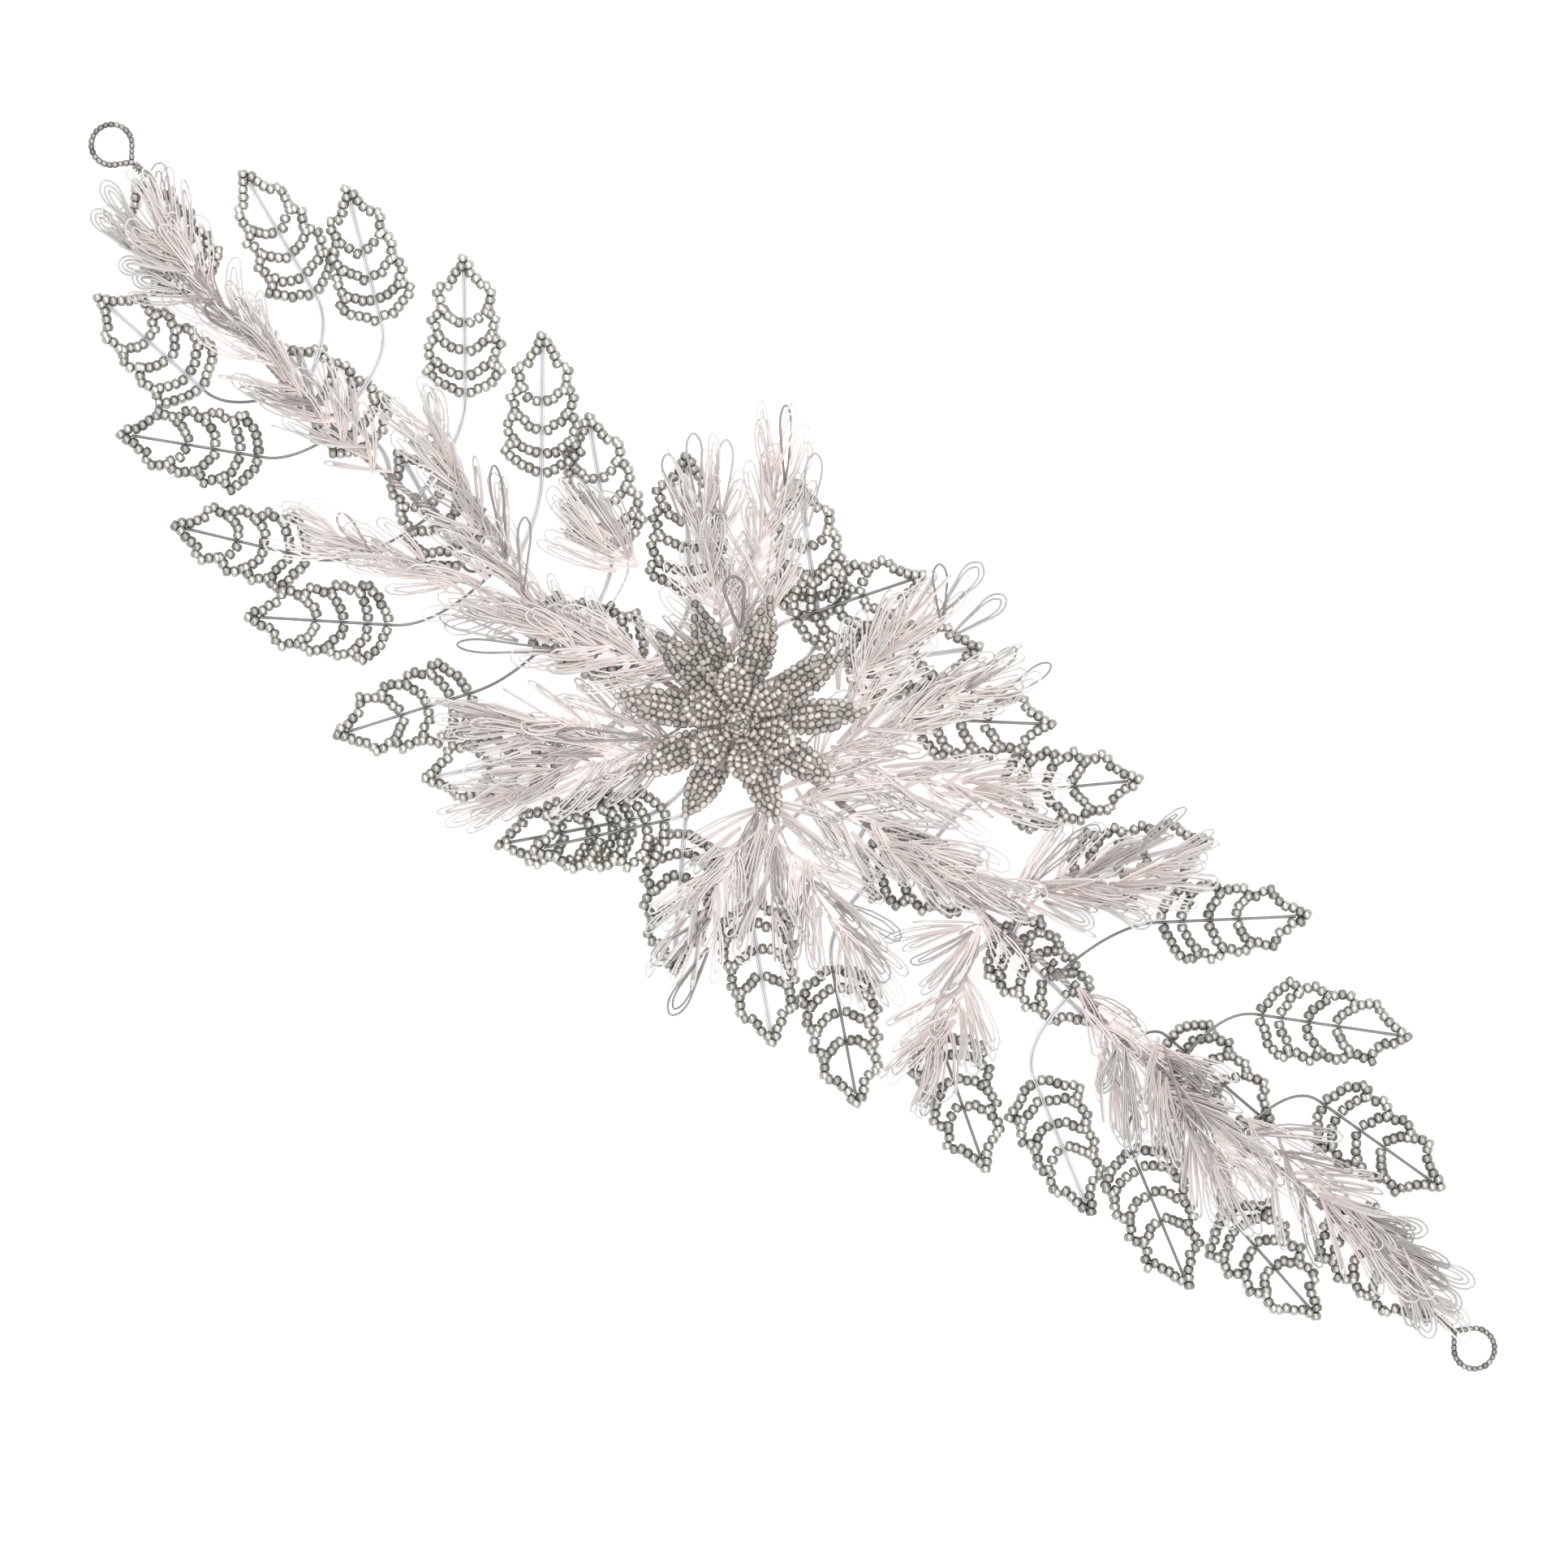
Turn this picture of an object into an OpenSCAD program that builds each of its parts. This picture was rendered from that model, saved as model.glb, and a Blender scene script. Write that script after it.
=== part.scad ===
// Bridal hair vine that lies flat: a wire stem with beaded leaves, wire sprays and a beaded flower.
// The stem runs along X, the side that faces the viewer is up, and the leaves rest on Z = 0.

/* [Vine] */
// Length between the outer edges of the two end loops
vine_len = 310; // [290:1:330]
// Width that the leaf and spray places are shares of
vine_w = 92; // [86:1:98]

/* [Stem] */
// Thickness of the twisted main stem
stem_d = 1.2; // [1:0.1:1.4]
// Thickness of the twig inside each spray
twig_d = 0.9; // [0.7:0.1:1]
// Thickness of the wire that carries a leaf
leaf_wire_d = 0.5; // [0.4:0.05:0.6]
// Air between pieces that are tied together
tie_gap = 0.15; // [0.1:0.05:0.2]

/* [End loops] */
// Clear width inside an end loop
loop_bore = 6; // [5.8:0.1:7]
// Thickness of the beaded wire of an end loop
loop_wire_d = 0.8; // [0.6:0.1:1]
// Distance from the middle of a loop to its neck
loop_reach = 5; // [4.8:0.1:6]
// Length of the wrapped neck on the stem
neck_len = 3; // [2:0.5:4]
// Wall of the wrapped neck
neck_wall = 0.4; // [0.3:0.05:0.6]

/* [Leaves] */
// Length of a full leaf
leaf_len = 24; // [21:0.5:26]
// Full width of a leaf
leaf_w = 15; // [13:0.5:16]
// Width and height of a string of leaf beads
bead_d = 1.5; // [1.2:0.1:1.6]
// Air between the lower and the upper layer of leaves
layer_gap = 0.3; // [0.2:0.05:0.6]

/* [Sprays] */
// Length of the longest spray
spray_len = 46; // [42:1:48]
// Length of one wire loop of a spray
blade_len = 12; // [10:0.5:13]
// Width of one wire loop of a spray
blade_w = 1.6; // [1.2:0.1:2]
// Thickness of one wire loop of a spray
blade_t = 0.5; // [0.4:0.05:0.6]

/* [Flower] */
// Length of the longest outer petal, from the middle of the flower
petal_len = 21.7; // [19:0.1:23]
// Width of an outer petal
petal_w = 6.3; // [5:0.1:7]
// Thickness of the bead work of the petals
petal_t = 1.5; // [1.2:0.1:1.8]
// Length of an inner petal, from the middle of the flower
inner_len = 13; // [11:0.5:14]
// Angle by which the inner petals rise
inner_rise = 35; // [25:1:45]
// Height of the outer petals above the stem
flower_lift = 5; // [4.6:0.1:7]
// Width of the beaded button in the middle
button_d = 4; // [3:0.1:4.4]

/* [Hidden] */
half_span = vine_len / 2;
half_w = vine_w / 2;
layer_h = bead_d + layer_gap;
stem_z = 2 * bead_d + 2 * layer_gap + stem_d / 2;
twig_z = stem_z + stem_d / 2 + tie_gap + twig_d / 2;
loop_r = (loop_bore + loop_wire_d) / 2;
loop_x = half_span - loop_r - loop_wire_d / 2;
neck_x = loop_x - loop_reach;
wire_fn = 8;
quarter = 90;
round_fn = 48;
knuckle_swell = 1.1;
// Extra depth of a cut past the face that it opens
cut_over = 1;
// Where a leaf's wire turns down to the stem: its share of the way, and the most that it may be
knee_share = 1 / 3;
knee_most = 2 * bead_d;

// Course of the main stem: shares of the half length and of the half width
COURSE = [
    [-0.88, -0.08], [-0.80, -0.15], [-0.67, -0.23], [-0.53, -0.24], [-0.43, -0.22],
    [-0.32, -0.23], [-0.21, -0.16], [-0.12, -0.115], [-0.06, -0.065], [0.04, -0.045],
    [0.15, -0.025], [0.36, 0.015], [0.52, -0.02], [0.61, -0.015], [0.71, 0.025],
    [0.83, 0.02], [0.90, 0.01]
];

// Half outline of a leaf along the middle of its bead strings: shares of its length and its width
EDGE = [
    [0.205, 0.47], [0.255, 0.355], [0.36, 0.435], [0.445, 0.325], [0.545, 0.405],
    [0.62, 0.29], [0.745, 0.355], [0.775, 0.2]
];
// Each inner crescent: foot on the midrib, then the notch where it meets the outline
CRESCENTS = [[0.16, 0.255, 0.355], [0.325, 0.445, 0.325], [0.51, 0.62, 0.29]];
// Where the outline meets the midrib at the base and at the tip, how round a crescent is,
// and how far the midrib wire reaches
base_u = 0.032;
tip_u = 0.94;
bulge = 1.8;
midrib_u = 0.9;
arc_steps = 4;

// Leaf places. Columns: base along and out, as shares of the half length and half width,
// heading in degrees, length as a share, layer, rise of the base in layers, foot along the stem
L_X = 0;
L_Y = 1;
L_HEAD = 2;
L_LEN = 3;
L_LAYER = 4;
L_RISE = 5;
L_FOOT = 6;
LEAVES = [
    [-0.802, -0.186, 162, 0.90, 1, 0.0, -0.785],
    [-0.706, 0.081, 162, 1.01, 0, 0.0, -0.645],
    [-0.728, -0.445, 180, 1.01, 0, 0.0, -0.655],
    [-0.632, 0.163, 146, 0.99, 1, 0.5, -0.600],
    [-0.631, -0.482, -148, 1.04, 1, 0.5, -0.590],
    [-0.550, -0.176, 177, 1.00, 0, 0.0, -0.515],
    [-0.523, -0.646, -152, 1.00, 0, 0.0, -0.455],
    [-0.513, 0.163, 132, 0.99, 0, 0.0, -0.480],
    [-0.408, -0.628, -142, 1.04, 1, 0.5, -0.365],
    [-0.394, 0.128, 131, 1.01, 1, 0.4, -0.350],
    [-0.394, -0.300, 161, 0.93, 0, 0.0, -0.370],
    [-0.296, -0.616, -121, 1.03, 0, 0.0, -0.270],
    [-0.286, 0.095, 141, 0.98, 0, 0.0, -0.255],
    [-0.191, 0.164, 133, 0.99, 1, 0.3, -0.175],
    [-0.181, -0.116, -158, 1.00, 0, 0.0, -0.165],
    [-0.183, -0.565, -127, 1.00, 1, 0.4, -0.160],
    [-0.075, -0.572, -128, 1.00, 0, 0.0, -0.075],
    [-0.047, -0.491, -126, 1.00, 1, 0.3, -0.045],
    [-0.029, -0.483, -53, 1.02, 0, 0.0, -0.015],
    [0.074, -0.525, -39, 1.03, 1, 0.4, 0.060],
    [0.187, -0.501, -38, 1.01, 0, 0.0, 0.165],
    [0.321, -0.435, -29, 1.02, 1, 0.5, 0.300],
    [0.431, -0.323, -26, 1.03, 0, 0.0, 0.400],
    [0.555, -0.276, -26, 1.08, 1, 0.5, 0.530],
    [0.676, -0.226, -7, 1.02, 0, 0.0, 0.655],
    [0.764, 0.024, -7, 1.02, 1, 0.0, 0.750],
    [0.676, 0.300, 6, 1.07, 0, 0.5, 0.635],
    [0.506, 0.111, 1, 1.00, 0, 0.0, 0.480],
    [0.563, 0.384, 33, 1.10, 1, 0.5, 0.540],
    [0.295, -0.014, -2, 0.95, 0, 0.0, 0.280],
    [0.419, 0.397, 44, 1.07, 0, 0.0, 0.375],
    [0.313, 0.313, 55, 1.04, 1, 0.3, 0.312],
    [0.200, 0.368, 47, 1.00, 0, 0.0, 0.185],
    [0.132, -0.125, 22, 0.97, 0, 0.0, 0.115],
    [0.076, 0.363, 39, 1.00, 1, 0.3, 0.078],
    [-0.017, 0.342, 49, 0.98, 0, 0.0, -0.010],
    [-0.092, 0.337, 60, 1.00, 1, 0.3, -0.088],
    [-0.068, 0.405, 140, 1.00, 0, 0.0, -0.110]
];

// Spray places. Columns: base along and out, heading, length as a share of the longest,
// spread as a share, upward tilt in degrees, foot along the stem, number of its node
S_X = 0;
S_Y = 1;
S_HEAD = 2;
S_LEN = 3;
S_SPREAD = 4;
S_TILT = 5;
S_FOOT = 6;
S_NODE = 7;
SPRAYS = [
    [-0.797, -0.148, 177, 0.50, 1.10, 6, -0.780, 1],
    [-0.533, -0.236, 177, 0.83, 1.15, 6, -0.520, 2],
    [-0.345, -0.210, 164, 0.83, 1.20, 6, -0.340, 3],
    [-0.308, -0.231, -155, 1.00, 0.85, 6, -0.290, 4],
    [-0.148, -0.088, -157, 0.83, 0.90, 9, -0.130, 5],
    [-0.121, -0.322, -145, 0.81, 0.90, 6, -0.100, 6],
    [-0.119, -0.374, -124, 0.74, 0.90, 6, -0.100, 6],
    [-0.259, 0.091, 172, 0.38, 0.80, 6, -0.240, 7],
    [-0.126, 0.095, 139, 0.78, 0.90, 6, -0.115, 8],
    [-0.114, 0.248, 124, 0.79, 0.70, 6, -0.085, 9],
    [0.007, 0.296, 91, 0.54, 0.90, 6, 0.010, 10],
    [0.041, 0.122, 67, 0.75, 0.95, 6, 0.010, 10],
    [0.065, 0.076, 31, 0.78, 0.90, 6, 0.050, 11],
    [0.062, -0.090, 14, 0.90, 0.90, 5, 0.050, 11],
    [0.021, -0.289, -78, 0.68, 0.80, 6, 0.000, 12],
    [0.047, -0.253, -18, 0.75, 0.90, 6, 0.000, 12],
    [0.272, -0.051, -108, 0.29, 0.80, 6, 0.290, 13],
    [0.303, -0.234, -71, 0.51, 0.90, 6, 0.290, 13],
    [0.275, 0.074, 54, 0.83, 0.90, 6, 0.260, 14],
    [0.452, -0.026, -36, 0.42, 0.80, 6, 0.450, 15],
    [0.472, 0.074, -14, 0.82, 0.90, 6, 0.450, 15],
    [0.639, 0.060, 2, 0.92, 0.90, 6, 0.620, 16]
];
// How the wire loops sit on a spray: shares of the twig, lean at its root and at its tip
first_blade = 0.16;
root_lean = 41;
tip_lean = 12;
golden = 0.618;
low_roll = 4;
high_roll = 80;
// Wire loops that every spray has, and the further ones on the longest
few_blades = 4;
more_blades = 15;
// Share of the last wire loop that reaches past the twig
past_twig = 0.9;
// Half outline of one wire loop: shares of its length and its half width
BLADE = [[0, 0.35], [0.6, 0.75], [0.82, 1], [0.94, 0.75], [1, 0.3]];

// Outer petals. Columns: heading in degrees, length as a share of the longest
PETALS = [
    [174, 0.94], [152, 1.00], [118, 1.00], [76, 0.98], [47, 0.98],
    [10, 0.85], [-28, 0.81], [-79, 0.85], [-113, 0.91], [-151, 0.99]
];
// Middle of the flower, in the same shares as the course of the stem
FLOWER = [-0.059, -0.065];
inner_count = 6;
inner_turn = 20;
hub_d = 8;
post_d = 2.4;
inner_hub_d = 6.4;
hub_t = 1.2;
// Half outline of a petal: shares of its length and its half width
PETAL = [[0.12, 0.42], [0.3, 0.72], [0.46, 0.95], [0.6, 1], [0.74, 0.86], [0.87, 0.52], [0.97, 0.16]];

hub_z = stem_z + stem_d / 2 + flower_lift;
inner_z = hub_z + petal_t + tie_gap;

function unit(v) = v / norm(v);
function flip(points) = [for (i = [len(points) - 1 : -1 : 0]) points[i]];
function turned(v) = [-v.y, v.x];

// Step from a point to the side of a line, mitred where the line bends
function side_step(before, here, after) =
    let (n1 = turned(unit(here - before)), n2 = turned(unit(after - here)))
    (n1 + n2) / (1 + n1 * n2);

// A closed line moved sideways by d
function ring_beside(points, d) =
    let (n = len(points))
    [for (i = [0 : n - 1])
        points[i] + d * side_step(points[(i + n - 1) % n], points[i], points[(i + 1) % n])];

// An open line moved sideways by d
function line_beside(points, d) =
    let (last = len(points) - 1)
    [for (i = [0 : last])
        points[i] + d * side_step(
            i == 0 ? 2 * points[0] - points[1] : points[i - 1],
            points[i],
            i == last ? 2 * points[last] - points[last - 1] : points[i + 1])];

// A string of beads seen from above: the band along an open line
module band(points, w) {
    polygon(concat(line_beside(points, w / 2), flip(line_beside(points, -w / 2))));
}

// A straight wire between two points in space, turned so that its edges miss those of other pieces
module rod(a, b, d) {
    v = b - a;
    translate(a)
        rotate([0, acos(v.z / norm(v)), atan2(v.y, v.x)])
            rotate([0, 0, quarter / wire_fn]) cylinder(h = norm(v), d = d, $fn = wire_fn);
}

// A bend or joint between two wires, a little thicker than they are
module knuckle(p, d) {
    translate(p) cylinder(h = d, d = d * knuckle_swell, center = true, $fn = wire_fn);
}

// The point on the main stem at a share of the half length, at height z
function on_stem(along, z) = [along * half_span, lookup(along, COURSE) * half_w, z];

// The stem's whole course, with a straight end inside each loop's neck
function stem_route() = concat(
    [[-neck_x, 0, stem_z], [-neck_x + neck_len + stem_d, 0, stem_z]],
    [for (c = COURSE) [c.x * half_span, c.y * half_w, stem_z]],
    [[neck_x - neck_len - stem_d, 0, stem_z], [neck_x, 0, stem_z]]);

module main_stem() {
    route = stem_route();
    color("silver") {
        for (i = [0 : len(route) - 2]) rod(route[i], route[i + 1], stem_d);
        for (i = [1 : len(route) - 2]) knuckle(route[i], stem_d);
    }
}

// A drop shaped eye of beaded wire with a wrapped neck that slips over the end of the stem
module end_loop(side) {
    touch = acos(loop_r / loop_reach);
    neck_outer = stem_d + 2 * tie_gap + 2 * neck_wall;
    color("gray")
        mirror([side < 0 ? 1 : 0, 0, 0])
            translate([0, 0, stem_z])
                difference() {
                    union() {
                        translate([loop_x, 0, 0])
                            rotate([0, 0, 180 + touch])
                                rotate_extrude(angle = 360 - 2 * touch, $fn = round_fn)
                                    translate([loop_r, 0]) circle(d = loop_wire_d, $fn = round_fn);
                        for (s = [-1, 1]) {
                            meet = [loop_x - loop_r * cos(touch), s * loop_r * sin(touch), 0];
                            rod([neck_x, 0, 0], meet, loop_wire_d);
                            knuckle(meet, loop_wire_d);
                        }
                        translate([neck_x - neck_len, 0, 0])
                            rotate([0, 90, 0])
                                cylinder(h = neck_len + loop_wire_d, d = neck_outer, $fn = round_fn);
                    }
                    bore = neck_len + cut_over + tie_gap;
                    translate([neck_x - neck_len - cut_over, 0, 0])
                        rotate([0, 90, 0]) cylinder(h = bore, d = stem_d + 2 * tie_gap, $fn = round_fn);
                }
}

// Points of a crescent from its foot on the midrib out to its end
function crescent(foot_u, end_u, end_v, first) =
    [for (i = [first : arc_steps])
        let (t = i / arc_steps) [foot_u + (end_u - foot_u) * pow(t, bulge), end_v * t]];

function mirrored(points) = [for (p = points) [p.x, -p.y]];
function sized(points, length) = [for (p = points) [p.x * length, p.y * leaf_w]];

function leaf_ring(length) =
    let (half = concat(crescent(base_u, EDGE[0][0], EDGE[0][1], 1),
                       [for (i = [1 : len(EDGE) - 1]) EDGE[i]]))
    sized(concat([[base_u, 0]], half, [[tip_u, 0]], flip(mirrored(half))), length);

// A leaf seen from above, base at the origin and tip along X
module leaf_outline(length) {
    ring = leaf_ring(length);
    difference() {
        polygon(ring_beside(ring, bead_d / 2));
        polygon(ring_beside(ring, -bead_d / 2));
    }
    for (c = CRESCENTS) {
        half = crescent(c[0], c[1], c[2], 1);
        band(sized(concat(flip(mirrored(half)), [[c[0], 0]], half), length), bead_d);
    }
}

module leaf(row) {
    length = row[L_LEN] * leaf_len;
    rise = row[L_RISE] * layer_h;
    pitch = asin(rise / length);
    heading = row[L_HEAD];
    base = [row[L_X] * half_span, row[L_Y] * half_w,
            row[L_LAYER] * layer_h + rise + bead_d / 2 * cos(pitch)];
    along = [cos(pitch) * cos(heading), cos(pitch) * sin(heading), -sin(pitch)];
    foot = on_stem(row[L_FOOT], stem_z - stem_d / 2 - tie_gap - leaf_wire_d / 2);
    knee = base - along * min(norm(foot - base) * knee_share, knee_most);
    color("darkgray") {
        translate(base)
            rotate([0, pitch, heading])
                linear_extrude(bead_d, center = true) leaf_outline(length);
        rod(base + along * length * midrib_u, knee, leaf_wire_d);
        knuckle(knee, leaf_wire_d);
        rod(knee, foot, leaf_wire_d);
    }
}

function blade_points() =
    concat([for (p = BLADE) [p.x * blade_len, p.y * blade_w / 2]],
           flip([for (p = BLADE) [p.x * blade_len, -p.y * blade_w / 2]]));

// One spray: a twig and the wire loops that fan out of it, in its own frame along X
module spray_fan(share, spread) {
    twig = share * spray_len - blade_len * cos(tip_lean) * past_twig;
    count = few_blades + round(share * more_blades);
    rod([0, 0, 0], [twig, 0, 0], twig_d);
    for (i = [0 : count - 1]) {
        t = i / (count - 1);
        upward = low_roll + (high_roll - low_roll) * (i * golden - floor(i * golden));
        roll = i % 2 == 0 ? upward : 180 - upward;
        lean = (root_lean + (tip_lean - root_lean) * t) * spread;
        translate([twig * (first_blade + (1 - first_blade) * t) - blade_w / 2, 0, 0])
            rotate([roll, 0, 0])
                rotate([0, 0, lean])
                    linear_extrude(blade_t, center = true) polygon(blade_points());
    }
}

module spray(row) {
    base = [row[S_X] * half_span, row[S_Y] * half_w, twig_z];
    foot = on_stem(row[S_FOOT], twig_z);
    color("lightgray") {
        translate(base)
            rotate([0, -row[S_TILT], row[S_HEAD]])
                spray_fan(row[S_LEN], row[S_SPREAD]);
        rod(foot, base, twig_d);
        knuckle(base, twig_d);
        knuckle(foot, twig_d);
    }
}

module petal(length, w) {
    half = [for (p = PETAL) [p.x * length, p.y * w / 2]];
    linear_extrude(petal_t)
        polygon(concat(half, [[length, 0]], flip(mirrored(half))));
}

module outer_petals() {
    color("gray")
        translate([FLOWER.x * half_span, FLOWER.y * half_w, 0]) {
            translate([0, 0, hub_z]) {
                cylinder(h = petal_t, d = hub_d, $fn = round_fn);
                for (p = PETALS) rotate([0, 0, p[0]]) petal(p[1] * petal_len, petal_w);
            }
            translate([0, 0, stem_z + stem_d / 2 + tie_gap])
                cylinder(h = flower_lift, d = post_d, $fn = round_fn);
        }
}

module inner_petals() {
    color("gray")
        translate([FLOWER.x * half_span, FLOWER.y * half_w, inner_z]) {
            cylinder(h = hub_t, d = inner_hub_d, $fn = round_fn);
            for (i = [0 : inner_count - 1])
                rotate([0, 0, inner_turn + i * 360 / inner_count])
                    translate([inner_hub_d / 2 - hub_t, 0, 0])
                        rotate([0, -inner_rise, 0]) petal(inner_len - inner_hub_d / 2, petal_w);
        }
}

module flower_button() {
    color("dimgray")
        translate([FLOWER.x * half_span, FLOWER.y * half_w, inner_z + hub_t + tie_gap + button_d / 2])
            sphere(d = button_d, $fn = round_fn);
}

function two_digits(n) = n < 10 ? str("0", n) : str(n);

main_stem();
end_loop(-1);  // end_loop_left
end_loop(1);  // end_loop_right
for (i = [0 : len(LEAVES) - 1])
    leaf(LEAVES[i]);
for (s = SPRAYS)
    spray(s);
outer_petals();
inner_petals();
flower_button();
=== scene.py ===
# Bridal hair vine that lies flat: beaded leaves, plumes of fine wire loops and a beaded flower,
# all on one twisted stem
import math
import random

import bpy
from mathutils import Euler, Matrix, Vector


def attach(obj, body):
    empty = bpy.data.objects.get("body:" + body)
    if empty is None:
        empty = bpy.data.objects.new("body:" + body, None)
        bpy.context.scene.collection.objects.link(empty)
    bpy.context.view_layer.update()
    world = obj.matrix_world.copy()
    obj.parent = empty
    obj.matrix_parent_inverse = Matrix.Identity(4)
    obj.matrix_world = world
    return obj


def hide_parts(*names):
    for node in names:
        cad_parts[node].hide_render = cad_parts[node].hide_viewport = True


bl_info = {
    "name": "Beaded Hair Vine",
    "version": (1, 0, 0),
    "blender": (4, 5, 0),
    "location": "View3D > Sidebar > Hair Vine",
    "description": "Strings the beads, bends the wire loops and lays the vine on its table",
    "category": "Add Mesh",
}

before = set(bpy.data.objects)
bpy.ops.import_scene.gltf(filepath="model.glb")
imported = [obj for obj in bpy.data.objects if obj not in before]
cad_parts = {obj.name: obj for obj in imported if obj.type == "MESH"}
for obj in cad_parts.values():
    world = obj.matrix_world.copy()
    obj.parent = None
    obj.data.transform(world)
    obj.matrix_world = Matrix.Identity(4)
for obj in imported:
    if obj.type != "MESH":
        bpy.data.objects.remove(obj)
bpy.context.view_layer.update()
MM = 0.001

# Sizes of the solids that the pieces stand for, in millimetres
HALF_SPAN = 155.0
HALF_W = 46.0
STEM_D = 1.2
STEM_Z = 4.2
TWIG_Z = 5.4
LAYER_H = 1.8
BEAD_H = 1.5
LEAF_LEN = 24.0
LEAF_W = 15.0
LEAF_WIRE_D = 0.5
TIE_GAP = 0.15
SPRAY_LEN = 46.0
BLADE_LEN = 12.0
LOOP_R = 3.4
LOOP_X = 151.2
NECK_X = 146.2
NECK_LEN = 3.0
PETAL_LEN = 21.7
PETAL_W = 6.3
INNER_LEN = 13.0
INNER_RISE = 35.0
HUB_Z = 9.8
INNER_Z = 11.45
HUB_D = 8.0
INNER_HUB_D = 6.4
HUB_T = 1.2
POST_D = 2.4
BUTTON_D = 4.0
BUTTON_Z = 14.8
FLOWER_AT = (-9.145, -2.99)

# Strands and lay of the stem, the ties wound round it and its rows of beads, in millimetres
STEM_STRANDS = 3
STEM_LAY = 3.4
TIE_D = 0.26
TIE_OUT = 0.12
TIE_STEP = 0.2652
# Turns of a winding, and points to each turn of a winding and of a strand
TURNS = 5
TURN_POINTS = 10
LAY_POINTS = 8
ROW_BEAD = Vector((1.25, 1.5, 1.5))
ROW_PITCH = 1.1
ROW_LIFT = 0.45
ROW_BOW = 0.5
ROW_DROP = 0.35

# Beads, core and neck of an end loop; a pack and a length are shares of a bead's width
RING_STEPS = 24
RING_FOOT = 0.6
RING_PACK = 0.8
RING_SPREAD = (0.88, 1.0)
RING_LONG = 0.85
CORE_D = 0.4
NECK_D = 0.32
NECK_OUT = 0.1
NECK_STEP = 0.57

# Course of the main stem, in shares of the half length and the half width
COURSE = [
    (-0.943, 0.0), (-0.916, 0.0), (-0.88, -0.08), (-0.80, -0.15), (-0.67, -0.23), (-0.53, -0.24),
    (-0.43, -0.22), (-0.32, -0.23), (-0.21, -0.16), (-0.12, -0.115), (-0.06, -0.065), (0.04, -0.045),
    (0.15, -0.025), (0.36, 0.015), (0.52, -0.02), (0.61, -0.015), (0.71, 0.025), (0.83, 0.02),
    (0.90, 0.01), (0.916, 0.0), (0.943, 0.0),
]

# Shares of the half length where rows of beads cross over the stem
STEM_BEADS = (0.302, 0.333, 0.366, 0.399, 0.432)

# Half outline of a leaf and its inner crescents, in shares of its length and width
EDGE = [(0.19, 0.46), (0.25, 0.355), (0.36, 0.425), (0.44, 0.32), (0.55, 0.38),
        (0.625, 0.275), (0.76, 0.32), (0.785, 0.195)]
CRESCENTS = [(0.16, 0.25, 0.355), (0.325, 0.44, 0.32), (0.51, 0.625, 0.275)]
BASE_U = 0.032
TIP_U = 0.97
BULGE = 1.8
MIDRIB_U = 0.9

# Leaf places: base along and out, heading, length, layer, rise of the base, foot along the stem
LEAVES = [
    (-0.802, -0.186, 162, 0.90, 1, 0.0, -0.785), (-0.706, 0.081, 162, 1.01, 0, 0.0, -0.645),
    (-0.728, -0.445, 180, 1.01, 0, 0.0, -0.655), (-0.632, 0.163, 146, 0.99, 1, 0.5, -0.600),
    (-0.631, -0.482, -148, 1.04, 1, 0.5, -0.590), (-0.550, -0.176, 177, 1.00, 0, 0.0, -0.515),
    (-0.523, -0.646, -152, 1.00, 0, 0.0, -0.455), (-0.513, 0.163, 132, 0.99, 0, 0.0, -0.480),
    (-0.408, -0.628, -142, 1.04, 1, 0.5, -0.365), (-0.394, 0.128, 131, 1.01, 1, 0.4, -0.350),
    (-0.394, -0.300, 161, 0.93, 0, 0.0, -0.370), (-0.296, -0.616, -121, 1.03, 0, 0.0, -0.270),
    (-0.286, 0.095, 141, 0.98, 0, 0.0, -0.255), (-0.191, 0.164, 133, 0.99, 1, 0.3, -0.175),
    (-0.181, -0.116, -158, 1.00, 0, 0.0, -0.165), (-0.183, -0.565, -127, 1.00, 1, 0.4, -0.160),
    (-0.075, -0.572, -128, 1.00, 0, 0.0, -0.075), (-0.047, -0.491, -126, 1.00, 1, 0.3, -0.045),
    (-0.029, -0.483, -53, 1.02, 0, 0.0, -0.015), (0.074, -0.525, -39, 1.03, 1, 0.4, 0.060),
    (0.187, -0.501, -38, 1.01, 0, 0.0, 0.165), (0.321, -0.435, -29, 1.02, 1, 0.5, 0.300),
    (0.431, -0.323, -26, 1.03, 0, 0.0, 0.400), (0.555, -0.276, -26, 1.08, 1, 0.5, 0.530),
    (0.676, -0.226, -7, 1.02, 0, 0.0, 0.655), (0.764, 0.024, -7, 1.02, 1, 0.0, 0.750),
    (0.676, 0.300, 6, 1.07, 0, 0.5, 0.635), (0.506, 0.111, 1, 1.00, 0, 0.0, 0.480),
    (0.563, 0.384, 33, 1.10, 1, 0.5, 0.540), (0.295, -0.014, -2, 0.95, 0, 0.0, 0.280),
    (0.419, 0.397, 44, 1.07, 0, 0.0, 0.375), (0.313, 0.313, 55, 1.04, 1, 0.3, 0.312),
    (0.200, 0.368, 47, 1.00, 0, 0.0, 0.185), (0.132, -0.125, 22, 0.97, 0, 0.0, 0.115),
    (0.076, 0.363, 39, 1.00, 1, 0.3, 0.078), (-0.017, 0.342, 49, 0.98, 0, 0.0, -0.010),
    (-0.092, 0.337, 60, 1.00, 1, 0.3, -0.088), (-0.068, 0.405, 140, 1.00, 0, 0.0, -0.110),
]
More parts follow.
